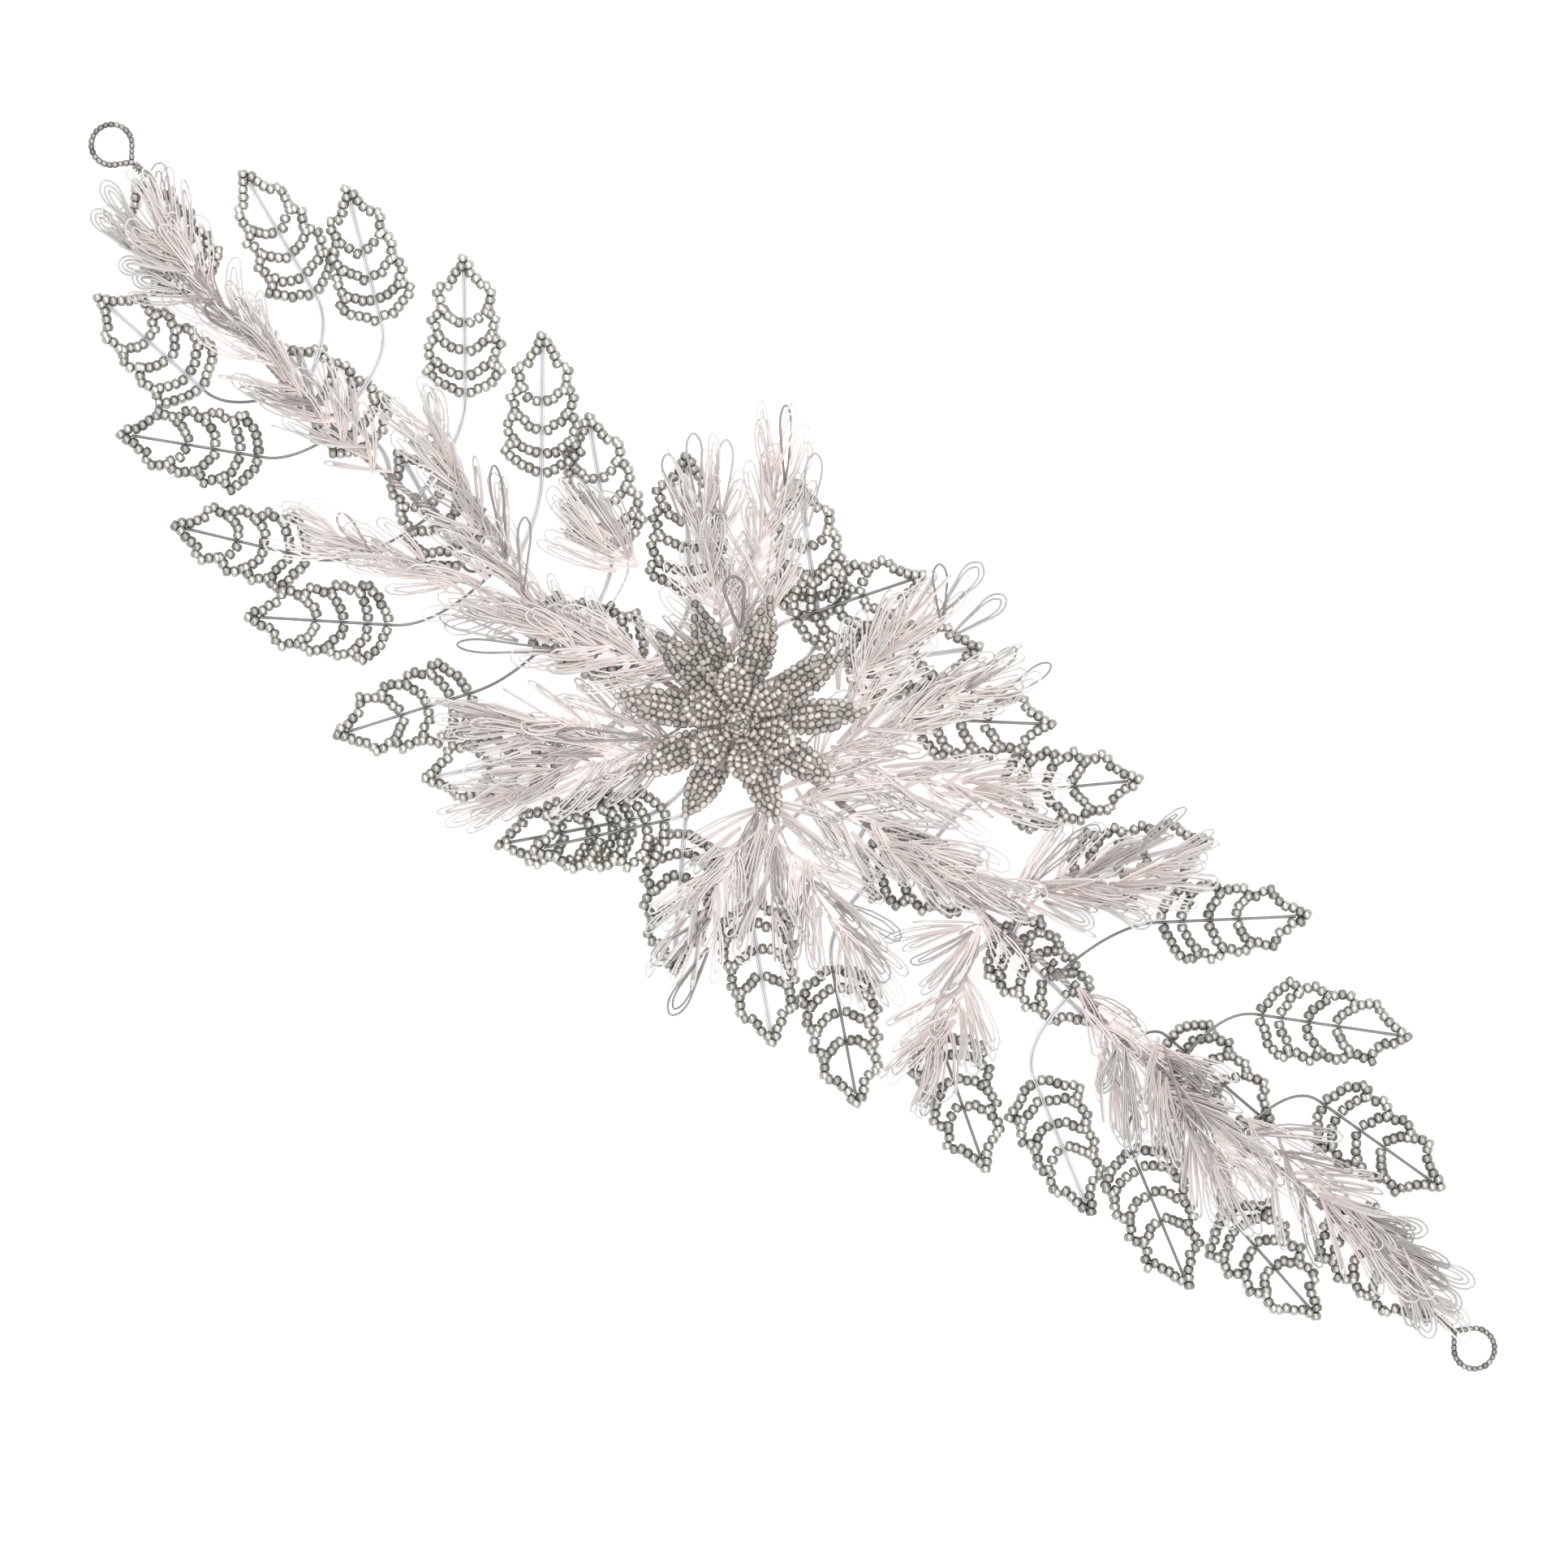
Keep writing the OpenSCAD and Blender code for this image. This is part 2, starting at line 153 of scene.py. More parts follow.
# Leaves whose stalk is one dark wire, leaves with a dark midrib, and leaves with lighter beads, partly
# painted light that lifts leaves lying in the shade of overlapping beads; the other stalks and midribs
# are a pale pair of wires
DARK_STALKS = {3, 5, 7, 9, 11, 12, 24, 25, 27, 28, 29, 31}
DARK_RIBS = {5, 7, 9, 12, 17, 18, 21, 22, 24, 25, 27, 28, 29, 31, 33, 35, 37}
PALE_LEAVES = {1, 2, 3, 4, 6, 8, 10, 11, 13, 16, 17, 18, 35, 36, 37, 38}

# Wires of a leaf, its lighter tone, partly painted light, and how far its halves and its beads stray from
# even
FRAME_D = 0.3
PALE_D = 0.4
PAIR_OUT = 0.21
STALK_KNEE = 0.38
PALE_TONE = 0.24
HALF_BREADTHS = (0.88, 1.0)
LEAF_SPREAD = (0.93, 1.0)
LEAF_STRAY = 0.3
LEAF_LEAN = 0.25
LEAF_LONG = 0.97
REST_GAP = 0.01

# Spray places: base along and out, heading, length, spread, upward tilt, foot along the stem, node
SPRAYS = [
    (-0.797, -0.148, 177, 0.50, 1.15, 6, -0.780, 1), (-0.533, -0.236, 177, 0.83, 1.10, 6, -0.520, 2),
    (-0.345, -0.210, 161, 0.83, 1.05, 6, -0.340, 3), (-0.308, -0.231, -155, 1.00, 0.78, 6, -0.290, 4),
    (-0.148, -0.088, -157, 0.83, 0.90, 9, -0.130, 5), (-0.121, -0.322, -145, 0.81, 0.90, 6, -0.100, 6),
    (-0.119, -0.374, -124, 0.74, 0.90, 6, -0.100, 6), (-0.259, 0.091, 172, 0.38, 0.80, 6, -0.240, 7),
    (-0.126, 0.095, 139, 0.78, 1.25, 6, -0.115, 8), (-0.114, 0.248, 124, 0.79, 1.00, 6, -0.085, 9),
    (0.007, 0.296, 91, 0.54, 0.90, 6, 0.010, 10), (0.041, 0.122, 67, 0.75, 0.95, 6, 0.010, 10),
    (0.065, 0.076, 31, 0.78, 0.90, 6, 0.050, 11), (0.062, -0.090, 14, 0.90, 0.90, 5, 0.050, 11),
    (0.021, -0.289, -78, 0.68, 1.05, 6, 0.000, 12), (0.047, -0.253, -18, 0.75, 1.15, 6, 0.000, 12),
    (0.272, -0.051, -108, 0.29, 0.80, 6, 0.290, 13), (0.303, -0.234, -71, 0.51, 1.05, 6, 0.290, 13),
    (0.275, 0.074, 54, 0.83, 1.05, 6, 0.260, 14), (0.452, -0.026, -36, 0.42, 0.80, 6, 0.450, 15),
    (0.472, 0.074, -18, 0.86, 1.20, 6, 0.450, 15), (0.639, 0.060, 2, 0.92, 1.00, 6, 0.620, 16),
    (0.034, -0.270, -50, 0.56, 1.00, 3, 0.000, 12),
]
# Loops that stand out alone: round end, foot, width in millimetres, tint, node
LONE_LOOPS = [
    (-26.0, 14.3, -19.5, 8.9, 3.4, 0.03, 8), (3.3, 43.2, 3.7, 33.0, 3.6, 0.6, 10),
    (9.9, 41.7, 7.6, 31.5, 3.4, 0.6, 10), (-1.7, 38.6, 5.1, 31.5, 2.4, 0.1, 10),
    (-46.6, 27.8, -38.7, 19.9, 2.6, 0.5, 8), (-41.8, 30.6, -33.8, 20.5, 2.6, 0.7, 8),
    (-47.6, 22.3, -38.2, 15.8, 2.6, 0.5, 8), (-38.2, 41.4, -29.5, 31.6, 1.9, 0.1, 9),
    (-29.2, 38.7, -22.3, 28.9, 2.8, 0.6, 9), (-57.8, -22.6, -45.7, -17.0, 2.2, 0.6, 5),
    (-52.7, -24.0, -39.5, -13.8, 2.2, 0.1, 5), (-81.8, -21.0, -72.7, -22.8, 2.4, 0.5, 4),
    (-121.1, -9.7, -109.7, -7.8, 3.0, 0.03, 2), (16.9, 36.5, 15.3, 26.1, 2.4, 0.4, 10),
    (22.9, 38.3, 20.2, 27.7, 2.4, 0.3, 10), (14.2, -46.5, 11.6, -34.3, 3.2, 0.2, 12),
    (6.3, -42.2, 8.5, -30.4, 3.6, 0.3, 12), (-30.4, -24.1, -18.8, -14.8, 2.2, 0.1, 6),
    (56.9, 10.6, 48.1, 8.3, 3.2, 0.95, 14), (63.8, 17.1, 54.7, 14.1, 3.2, 0.95, 14),
    (131.9, 9.3, 122.0, 4.0, 3.4, 0.8, 16), (143.5, 7.9, 132.0, 4.3, 3.4, 0.8, 16),
    (-147.6, -5.6, -137.4, -8.0, 3.2, 0.9, 1), (-145.6, -10.3, -136.7, -10.9, 3.2, 0.8, 1),
    (-136.7, -13.9, -129.9, -10.3, 3.2, 0.9, 1), (-133.5, -14.0, -126.1, -10.6, 3.2, 0.9, 1),
    (144.0, -3.4, 133.8, 2.4, 3.4, 0.8, 16), (144.4, 3.3, 134.5, 3.0, 3.6, 0.6, 16),
    (-67.8, 1.9, -56.2, -8.2, 2.0, 0.1, 3), (-58.3, -1.1, -50.6, -10.4, 2.2, 0.3, 3),
    (87.4, -13.7, 74.4, -1.0, 3.0, 0.8, 15), (76.2, -9.2, 73.3, -1.9, 2.6, 0.8, 15),
]
# Height of their feet, and over the flower; how much shorter and narrower a loop is that nests in
# another; and their half outline in shares
LONE_Z = 8.6
FLOWER_LONE_Z = 13.0
NEST_SHORT = 0.09
NEST_NARROW = 0.34
LONE_HALF = [(0.0, 0.1), (0.25, 0.45), (0.5, 0.72), (0.75, 0.98), (0.93, 0.75)]
# Stretches of the main stem that loops run along: from, to, pitch in millimetres, node, brightest tint
RUNNERS = [(-0.69, -0.87, 1.5, 1, 1.0), (-0.20, -0.33, 2.4, 4, 1.0), (0.12, 0.29, 2.4, 13, 1.0),
           (0.40, 0.47, 1.5, 15, 1.0), (0.49, 0.58, 1.5, 16, 0.14), (0.78, 0.90, 1.1, 16, 1.0)]
# Their lean in degrees, lift and side way in millimetres, roll in radians, length and width in shares
RUNNER_LEAN = (4, 30)
RUNNER_LIFT = (0.7, 2.6)
RUNNER_SIDE = 1.2
RUNNER_ROLL = 0.5
RUNNER_REACH = (0.7, 1.1)
RUNNER_WIDTHS = (0.6, 1.2)
# Rows of the spray list with more or fewer loops, rows whose loops stay grey up to a tint, and rows
# whose loops are paler from a tint on, a painted light that lifts the shade of their crowded loops
FILL = {3: 0.8, 4: 0.9, 8: 1.1, 9: 0.9, 12: 0.9, 14: 0.85, 16: 0.8, 17: 1.2, 18: 1.4, 19: 0.5,
        20: 1.5, 22: 0.5}
GREY_ROWS = {20, 21}
GREY_MOST = 0.4
PALE_ROWS = {0, 3, 4, 8, 9, 10, 11, 12, 14, 19}
PALE_LEAST = 0.3
# Where the loops start, as a share of the twig: rows that start later, and sprays whose loops
# start under the flower
FIRST_LOOP = -0.08
LATE_LOOP = {18: 0.08, 20: 0.1}
INNER_SPRAYS = {5, 6, 8, 9, 10, 11, 12}
INNER_LOOP = -0.22
# How far the loops lean out from the twig, in degrees, and how unevenly
ROOT_LEAN = 38.0
TIP_LEAN = 16.0
MOST_LEAN = 44.0
LEAN_SPREAD = (0.3, 1.5)
# How far they stand up round the twig, in degrees; near the flower they are kept flat
LOW_ROLL = 4.0
HIGH_ROLL = 80.0
ROLL_BIAS = 2.4
FLAT_ROLL = (78, 92)
UNDER_FLOWER = 22.0
# How the loops crowd to the tip, sit beside the twig and turn on their own feet
TIP_CROWD = 0.88
FOOT_BACK = 0.8
FOOT_SIDE = 2.0
FOOT_TURN = 1.2
# Length and width of the loops as shares, how much shorter they are at the tip, their bow and half
# outlines, and how far their round ends sway in millimetres
LOOP_REACH = (0.85, 1.35)
TIP_REACH = 0.25
LOOP_WIDTHS = (0.6, 1.25)
HAIRPIN_BOW = 0.6
HAIRPIN = ([(0.0, 0.2), (0.22, 0.55), (0.5, 0.85), (0.78, 1.0), (0.93, 0.84), (1.0, 0.32)],
           [(0.0, 0.08), (0.35, 0.34), (0.7, 0.5), (0.88, 0.2)])
SWAY = 1.6
# Width and lay of the twigs' twisted pair, and the golden share that spreads the loops evenly
TWIG_WIRE_D = 0.5
TWIG_LAY = 2.4
GOLDEN = 0.618

# Outer petals: heading, length as a share of the longest, tone at the tip. Then the half outline of
# a petal in shares, and the number and first turn of the inner petals
PETALS = [(174, 0.94, -0.2), (152, 1.00, -0.4), (118, 1.00, -0.05), (76, 0.98, -0.1), (47, 0.98, 0.0),
          (10, 0.85, 0.25), (-28, 0.81, 0.45), (-79, 0.85, 0.25), (-113, 0.91, 0.25), (-151, 0.99, 0.05)]
PETAL = [(0.12, 0.42), (0.3, 0.72), (0.46, 0.95), (0.6, 1.0), (0.74, 0.86), (0.87, 0.52), (0.97, 0.16)]
INNER_COUNT = 6
INNER_TURN = 20.0
# Height of the beads over the hub, and how far each strays in place, lean and size
PETAL_BEAD_Z = 0.7
PETAL_STRAY = (0.12, 0.12, 0.1)
PETAL_LEAN = 0.6
PETAL_SPREAD = (0.92, 1.02)
PETAL_LONG = 0.92
# The wire cloth behind the beads: its two sides, its end, how far it is set in, and a disc's rim
CLOTH_Z = (-0.45, -0.2)
CLOTH_END = 0.95
CLOTH_IN = 0.55
RIM = 0.25
# Beads round and on the flower's middle, turned on by the golden angle in radians
RING_BEADS = 24
DOME_BEADS = 30
DOME_BEAD = 1.12
DOME_SPREAD = (0.85, 1.0)
DOME_LONG = 0.9
GOLDEN_TURN = 2.39996
# Shares of a bead's width where its ends are cut, the rim and depth of its hole, and the furthest
# random turn about its string, in radians
BEAD_CUT = 0.33
HOLE_RIM = 0.17
HOLE_DEPTH = 0.14
ANY_ROLL = 6.3
UP = Vector((0, 0, 1))
# Lights: name, place, width and power. Then the room's glow
LIGHTS = (("soft_box_left", (-0.9, 0.5, 1.1), 0.5, 3.5), ("soft_box_right", (0.8, -0.7, 1.2), 0.5, 3.5),
          ("soft_box_top", (0.1, 0.15, 1.7), 2.2, 16.0))
GLOW = 0.62
# Camera height over the stem, in metres, the width that it sees there, its place and its turn
CAMERA_H = 1.3
VIEW_W = 0.2608
CAMERA_AT = (0.0030, -0.00564)
CAMERA_TURN = 41.46
SENSOR_W = 36.0


class HairVineSizes(bpy.types.PropertyGroup):
    """Sizes of the beads and the wire."""
    leaf_bead: bpy.props.FloatProperty(
        name="Leaf bead", description="Width of a bead in the leaves",
        default=1.98 * MM, unit="LENGTH", subtype="DISTANCE")
    leaf_pitch: bpy.props.FloatProperty(
        name="Leaf bead pitch", description="Distance between two beads of a leaf",
        default=1.3 * MM, unit="LENGTH", subtype="DISTANCE")
    petal_bead: bpy.props.FloatProperty(
        name="Petal bead", description="Width of a bead in the flower",
        default=1.32 * MM, unit="LENGTH", subtype="DISTANCE")
    loop_bead: bpy.props.FloatProperty(
        name="End loop bead", description="Width of a bead in the end loops",
        default=1.15 * MM, unit="LENGTH", subtype="DISTANCE")
    loop_wire: bpy.props.FloatProperty(
        name="Spray wire", description="Thickness of the wire of the spray loops",
        default=0.36 * MM, unit="LENGTH", subtype="DISTANCE")
    loop_width: bpy.props.FloatProperty(
        name="Spray loop width", description="Width of a wire loop in a spray",
        default=2.7 * MM, unit="LENGTH", subtype="DISTANCE")
    loop_pitch: bpy.props.FloatProperty(
        name="Spray loop pitch", description="Distance along the twig from one wire loop to the next",
        default=1.4 * MM, unit="LENGTH", subtype="DISTANCE")


class HairVineColours(bpy.types.PropertyGroup):
    """Colours of the beads, the wire and the table."""
    leaf_bead: bpy.props.FloatVectorProperty(
        name="Leaf beads", description="Middle colour of the leaf beads",
        default=(0.59, 0.575, 0.535), subtype="COLOR", min=0, max=1)
    petal_bead: bpy.props.FloatVectorProperty(
        name="Flower beads", description="Middle colour of the flower beads",
        default=(0.64, 0.60, 0.56), subtype="COLOR", min=0, max=1)
    spray_wire: bpy.props.FloatVectorProperty(
        name="Spray wire", description="Colour of the wire loops at their ends",
        default=(0.74, 0.72, 0.70), subtype="COLOR", min=0, max=1)
    # In the spray loops this lighter rose is partly painted light that lifts the shade near the twig
    rose_cast: bpy.props.FloatVectorProperty(
        name="Rose cast", description="Colour of the wire loops near the twig",
        default=(0.87, 0.775, 0.755), subtype="COLOR", min=0, max=1)
    pale_wire: bpy.props.FloatVectorProperty(
        name="Pale wire", description="Colour of the pale leaf wires",
        default=(0.76, 0.75, 0.775), subtype="COLOR", min=0, max=1)
    dark_wire: bpy.props.FloatVectorProperty(
        name="Dark wire", description="Colour of the dark leaf wires and of the stem",
        default=(0.24, 0.23, 0.225), subtype="COLOR", min=0, max=1)
    table: bpy.props.FloatVectorProperty(
        name="Table", description="Colour of the table that the vine lies on",
        default=(0.92, 0.92, 0.92), subtype="COLOR", min=0, max=1)


class Socket:
    """A socket whose arithmetic adds Math nodes to its tree."""

    def __init__(self, bench, socket):
        self.bench = bench
        self.socket = socket

    def _math(self, operation, *values):
        return self.bench.node("ShaderNodeMath", {"operation": operation}, dict(enumerate(values)))

    def __add__(self, other):
        return self._math("ADD", self, other)

    def __sub__(self, other):
        return self._math("SUBTRACT", self, other)

    def __rsub__(self, other):
        return self._math("SUBTRACT", other, self)

    def __mul__(self, other):
        return self._math("MULTIPLY", self, other)

    def __pow__(self, other):
        return self._math("POWER", self, other)

    def __abs__(self):
        return self._math("ABSOLUTE", self)

    __radd__ = __add__
    __rmul__ = __mul__


class Bench:
    """Adds nodes to a material's or a modifier's tree."""

    def __init__(self, tree):
        self.tree = tree

    def node(self, kind, settings=None, values=None, out=0):
        made = self.tree.nodes.new(kind)
        for key, value in (settings or {}).items():
            if key == "stops":
                ramp = made.color_ramp.elements
                while len(ramp) < len(value):
                    ramp.new(1.0)
                for stop, (place, shade) in zip(ramp, value):
                    stop.position = place
                    stop.color = (*shade, 1.0)
            else:
                setattr(made, key, value)
        for key, value in (values or {}).items():
            if isinstance(value, Socket):
                self.tree.links.new(value.socket, made.inputs[key])
            else:
                made.inputs[key].default_value = value
        return Socket(self, made.outputs[out]) if made.outputs else made


def shade(colour, share):
    """A colour made darker or lighter by a share, as three numbers."""
    return tuple(min(1.0, c * share) for c in colour)


def new_bench(name):
    """A new material, its bench and the place on the piece."""
    material = bpy.data.materials.new(name)
    material.use_nodes = True
    material.node_tree.nodes.clear()
    b = Bench(material.node_tree)
    return material, b, b.node("ShaderNodeTexCoord", out="Object")


def finish_surface(b, settings, strength, depth, height):
    """The shader, its relief and the output of a material."""
    relief = b.node("ShaderNodeBump", {}, {"Strength": strength, "Distance": depth, "Height": height})
    shader = b.node("ShaderNodeBsdfPrincipled", {}, {**settings, "Normal": relief})
    b.node("ShaderNodeOutputMaterial", {}, {"Surface": shader})


def mark(b, name):
    """What the piece's own attribute says at a place."""
    return b.node("ShaderNodeAttribute", {"attribute_name": name}, out="Fac")


def cloudy(b, place, scale, detail):
    """A noise over the piece, from its scale and detail."""
    return b.node("ShaderNodeTexNoise", {}, {"Vector": place, "Scale": scale, "Detail": detail}, out="Fac")


def blend(b, factor, first, second, way="MIX"):
    """Two colours mixed, or multiplied, by a factor."""
    first, second = (end if isinstance(end, Socket) else (*end, 1.0) for end in (first, second))
    return b.node("ShaderNodeMix", {"data_type": "RGBA", "blend_type": way}, {
        "Factor": factor, "A": first, "B": second}, out="Result")


def greys(b, level, stops):
    """A grey that follows a level, by stops of a level and a tone."""
    return b.node("ShaderNodeValToRGB", {"stops": [(at, (tone,) * 3) for at, tone in stops]}, {"Fac": level})


def lined_glass(name, colour, spread, frost=0.22):
    """Clear seed beads with a silver lining: some dark, most grey, a few bright. Each bead carries painted
    shade, darker where its surface faces sideways.
    """
    material, b, place = new_bench(name)
    cloud = cloudy(b, place, 1400.0, 3.0)
    pits = cloudy(b, place, 5200.0, 2.0)
    lining = b.node("ShaderNodeValToRGB", {"stops": [
        (0.0, shade(colour, 1 - 0.75 * spread)), (0.25, shade(colour, 1 - 0.35 * spread)),
        (0.6, shade(colour, 1.05)), (0.88, shade(colour, 1 + 0.35 * spread)),
        (1.0, shade(colour, 1 + 0.7 * spread))]}, {"Fac": mark(b, "tint") * 0.82 + cloud * 0.2})
    # Painted shade: the bead colour is multiplied down where the surface faces sideways, so each bead gets a
    # dark outline and a light top and bottom
    painted_shade_normal = b.node("ShaderNodeNewGeometry", out="Normal")
    level = abs(b.node("ShaderNodeSeparateXYZ", {}, {"Vector": painted_shade_normal}, out="Z"))
    rim = greys(b, level, [(0.0, 0.5), (0.45, 0.66), (0.8, 0.95), (1.0, 1.0)])
    finish_surface(b, {
        "Base Color": blend(b, 1.0, lining, rim, "MULTIPLY"), "Metallic": 1.0,
        "Roughness": frost + cloud * 0.34, "Specular Tint": (0.45, 0.45, 0.45, 1.0)}, 0.35, 0.00004, pits)
    return material


def loop_wire_finish(name, colours):
    """Fine silver wire with a rose cast near the twig, pale at the round ends, darkened here and there. Its
    lighter tone near the twig is partly painted light that lifts the shade among the crowded loops, and the
    darkened loops are painted shade.
    """
    material, b, place = new_bench(name)
    drift = cloudy(b, place, 90.0, 2.0)
    grain = cloudy(b, place, 3000.0, 2.0)
    # The rose near the twig is the wire's own tint; its lighter tone there is also painted light that lifts
    # the shade among the crowded loops
    along = blend(b, mark(b, "reach") * 1.1 + drift * 0.8 - 0.5, colours.rose_cast, colours.spray_wire)
    # Painted shade: loops with a low tint, given at random, are darkened to stand for loops lying deeper in
    # the plume; the highest tints go a little above the wire's colour
    depth = greys(b, mark(b, "tint"), [(0.0, 0.5), (0.1, 0.64), (0.2, 0.92), (0.7, 1.0), (1.0, 1.15)])
    finish_surface(b, {
        "Base Color": blend(b, 1.0, along, depth, "MULTIPLY"), "Metallic": 0.15,
        "Roughness": 0.3 + grain * 0.2}, 0.3, 0.00002, grain)
    return material


def drawn_wire_finish(name, colours, pale=None):
    """Drawn wire, pale or dark by the piece's tint, with fine draw marks and dull patches."""
    material, b, place = new_bench(name)
    patches = cloudy(b, place, 260.0, 3.0)
    marks = cloudy(b, place, 4200.0, 2.0)
    colour = blend(b, mark(b, "tint") + patches * 0.3 - 0.15, pale or colours.pale_wire, colours.dark_wire)
    finish_surface(b, {
        "Base Color": colour, "Metallic": 0.55, "Roughness": 0.25 + patches * 0.25}, 0.3, 0.00002, marks)
    return material


def wire_cloth_finish(name, colour):
    """Dark woven wire cloth behind the bead rows; its dark tone, where it shows in the gaps between the
    beads, is painted shade.
    """
    material, b, place = new_bench(name)
    warp, weft = (
        b.node("ShaderNodeMath", {"operation": "SINE"}, {
            0: b.node("ShaderNodeSeparateXYZ", {}, {"Vector": place}, out=way) * 14000.0}) for way in "XY")
    weave = warp * weft * 0.5 + 0.5
    dust = cloudy(b, place, 900.0, 3.0)
    tone = blend(b, weave * 0.6 + dust * 0.4, shade(colour, 0.5), shade(colour, 1.0))
    finish_surface(b, {
        "Base Color": tone, "Metallic": 0.6, "Roughness": 0.4 + dust * 0.25}, 0.5, 0.00005, weave)
    return material


def table_finish(colour):
    """Matt white board with a faint grain."""
    material, b, place = new_bench("table_board")
    grain = cloudy(b, place, 400.0, 4.0)
    board = blend(b, grain * 0.5, colour, shade(colour, 0.97))
    finish_surface(b, {
        "Base Color": board, "Roughness": 0.85, "Emission Color": board, "Emission Strength": 0.6},
        0.04, 0.0002, grain)
    return material


def wanted(context):
    """The sizes and colours that the user has set."""
    return context.scene.hair_vine_sizes, context.scene.hair_vine_colours


def only(obj):
    """Selects one object and nothing else."""
    if bpy.context.object and bpy.context.object.mode != "OBJECT":
        bpy.ops.object.mode_set(mode="OBJECT")
    bpy.ops.object.select_all(action="DESELECT")
    obj.select_set(True)
    bpy.context.view_layer.objects.active = obj


def new_object(name, data):
    """A new object in the scene."""
    made = bpy.data.objects.new(name, data)
    bpy.context.collection.objects.link(made)
    return made


def mm(x, y=0.0, z=0.0):
    """A point or a way given in millimetres."""
    return Vector((x, y, z)) * MM


def moved(x, y=0.0, z=0.0):
    """A move in millimetres."""
    return Matrix.Translation(mm(x, y, z))


def turned(degrees, axis):
    """A turn in degrees about an axis."""
    return Matrix.Rotation(math.radians(degrees), 4, axis)


def laid(base, pitch, heading):
    """The lie of a piece from its base, tipped by a pitch and turned to its heading."""
    return Matrix.Translation(base) @ Euler((0, pitch, math.radians(heading))).to_matrix().to_4x4()


def spot(along, out, z):
    """The point at shares of the vine's half length and half width."""
    return mm(along * HALF_SPAN, out * HALF_W, z)


def near_flower(x, y):
    """Whether a place, in millimetres, lies under the flower."""
    return math.hypot(x - FLOWER_AT[0], y - FLOWER_AT[1]) < UNDER_FLOWER


def mirrored(half):
    """A half outline and the other half, back to the start."""
    return half + [(x, -y) for x, y in reversed(half)]


def smooth(points, steps):
    """A rounded line through points, with some steps to each span."""
    points = [Vector(p) for p in points]
    ends = [2 * points[0] - points[1]] + points + [2 * points[-1] - points[-2]]
    line = []
    for i in range(1, len(ends) - 2):
        p0, p1, p2, p3 = ends[i - 1:i + 3]
        for s in range(steps):
            t = s / steps
            line.append(0.5 * (2 * p1 + (p2 - p0) * t + (2 * p0 - 5 * p1 + 4 * p2 - p3) * t ** 2
                               + (3 * p1 - p0 - 3 * p2 + p3) * t ** 3))
    return line + [points[-1]]


def walk(line, pitch):
    """Places along a line, as close to a pitch apart as fits, each with the line's direction."""
    lengths = [(b - a).length for a, b in zip(line, line[1:])]
    total = sum(lengths)
    count = max(1, round(total / pitch))
    places, span, gone = [], 0, 0.0
    for i in range(count + 1):
        goal = total * i / count
        while span < len(lengths) - 1 and gone + lengths[span] < goal:
            gone += lengths[span]
            span += 1
        step = line[span + 1] - line[span]
        share = (goal - gone) / lengths[span] if lengths[span] else 0.0
        places.append((line[span] + step * share, step.normalized()))
    return places


def turn_along(direction, roll):
    """The turn that lays a bead's hole along a direction."""
    base = direction.to_track_quat("X", "Z").to_matrix()
    return (base @ Matrix.Rotation(roll, 3, "X")).to_euler()


def strung(rng, place, run, size, brightest=1.0, tone=0.0):
    """One bead's place, its turn on the string, its size and its tint."""
    return place, turn_along(run, rng.uniform(0, ANY_ROLL)), size, rng.random() * brightest + tone


def model_seed_bead():
    """One round seed bead of unit width, its hole along X and dished at both ends."""
    bpy.ops.object.select_all(action="DESELECT")
    bpy.ops.mesh.primitive_uv_sphere_add(segments=8, ring_count=6, radius=0.5)
    bead = bpy.context.object
    bead.name = "seed_bead_model"
    bpy.ops.object.mode_set(mode="EDIT")
    bpy.ops.mesh.select_all(action="SELECT")
    bpy.ops.transform.rotate(value=math.pi / 2, orient_axis="Y", center_override=(0, 0, 0))
    for side in (1, -1):
        bpy.ops.mesh.select_all(action="SELECT")
        bpy.ops.mesh.bisect(
            plane_co=(BEAD_CUT * side, 0, 0), plane_no=(side, 0, 0), use_fill=True, clear_outer=True)
        bpy.ops.mesh.inset(thickness=HOLE_RIM)
        bpy.ops.transform.translate(value=(-HOLE_DEPTH * side, 0, 0))
    bpy.ops.mesh.select_all(action="SELECT")
    bpy.ops.transform.resize(value=(0.5 / BEAD_CUT, 1, 1))
    bpy.ops.object.mode_set(mode="OBJECT")
    bpy.ops.object.shade_smooth()
    return bead


def line_curve(name, lines):
    """A curve of straight steps along some lines."""
    curve = bpy.data.curves.new(name, "CURVE")
    curve.dimensions = "3D"
    for line in lines:
        spline = curve.splines.new("POLY")
        spline.points.add(len(line) - 1)
        for point, place in zip(spline.points, line):
            point.co = (*place, 1.0)
    return curve


def model_hairpin():
    """A double hairpin loop as lines: unit length along X, half width one, bowed outwards, round-ended."""
    lines = [[(x, y + HAIRPIN_BOW * 4 * x * (1 - x), 0.0) for x, y in mirrored(half)] for half in HAIRPIN]
    return new_object("hairpin_model", line_curve("hairpin_model", lines))


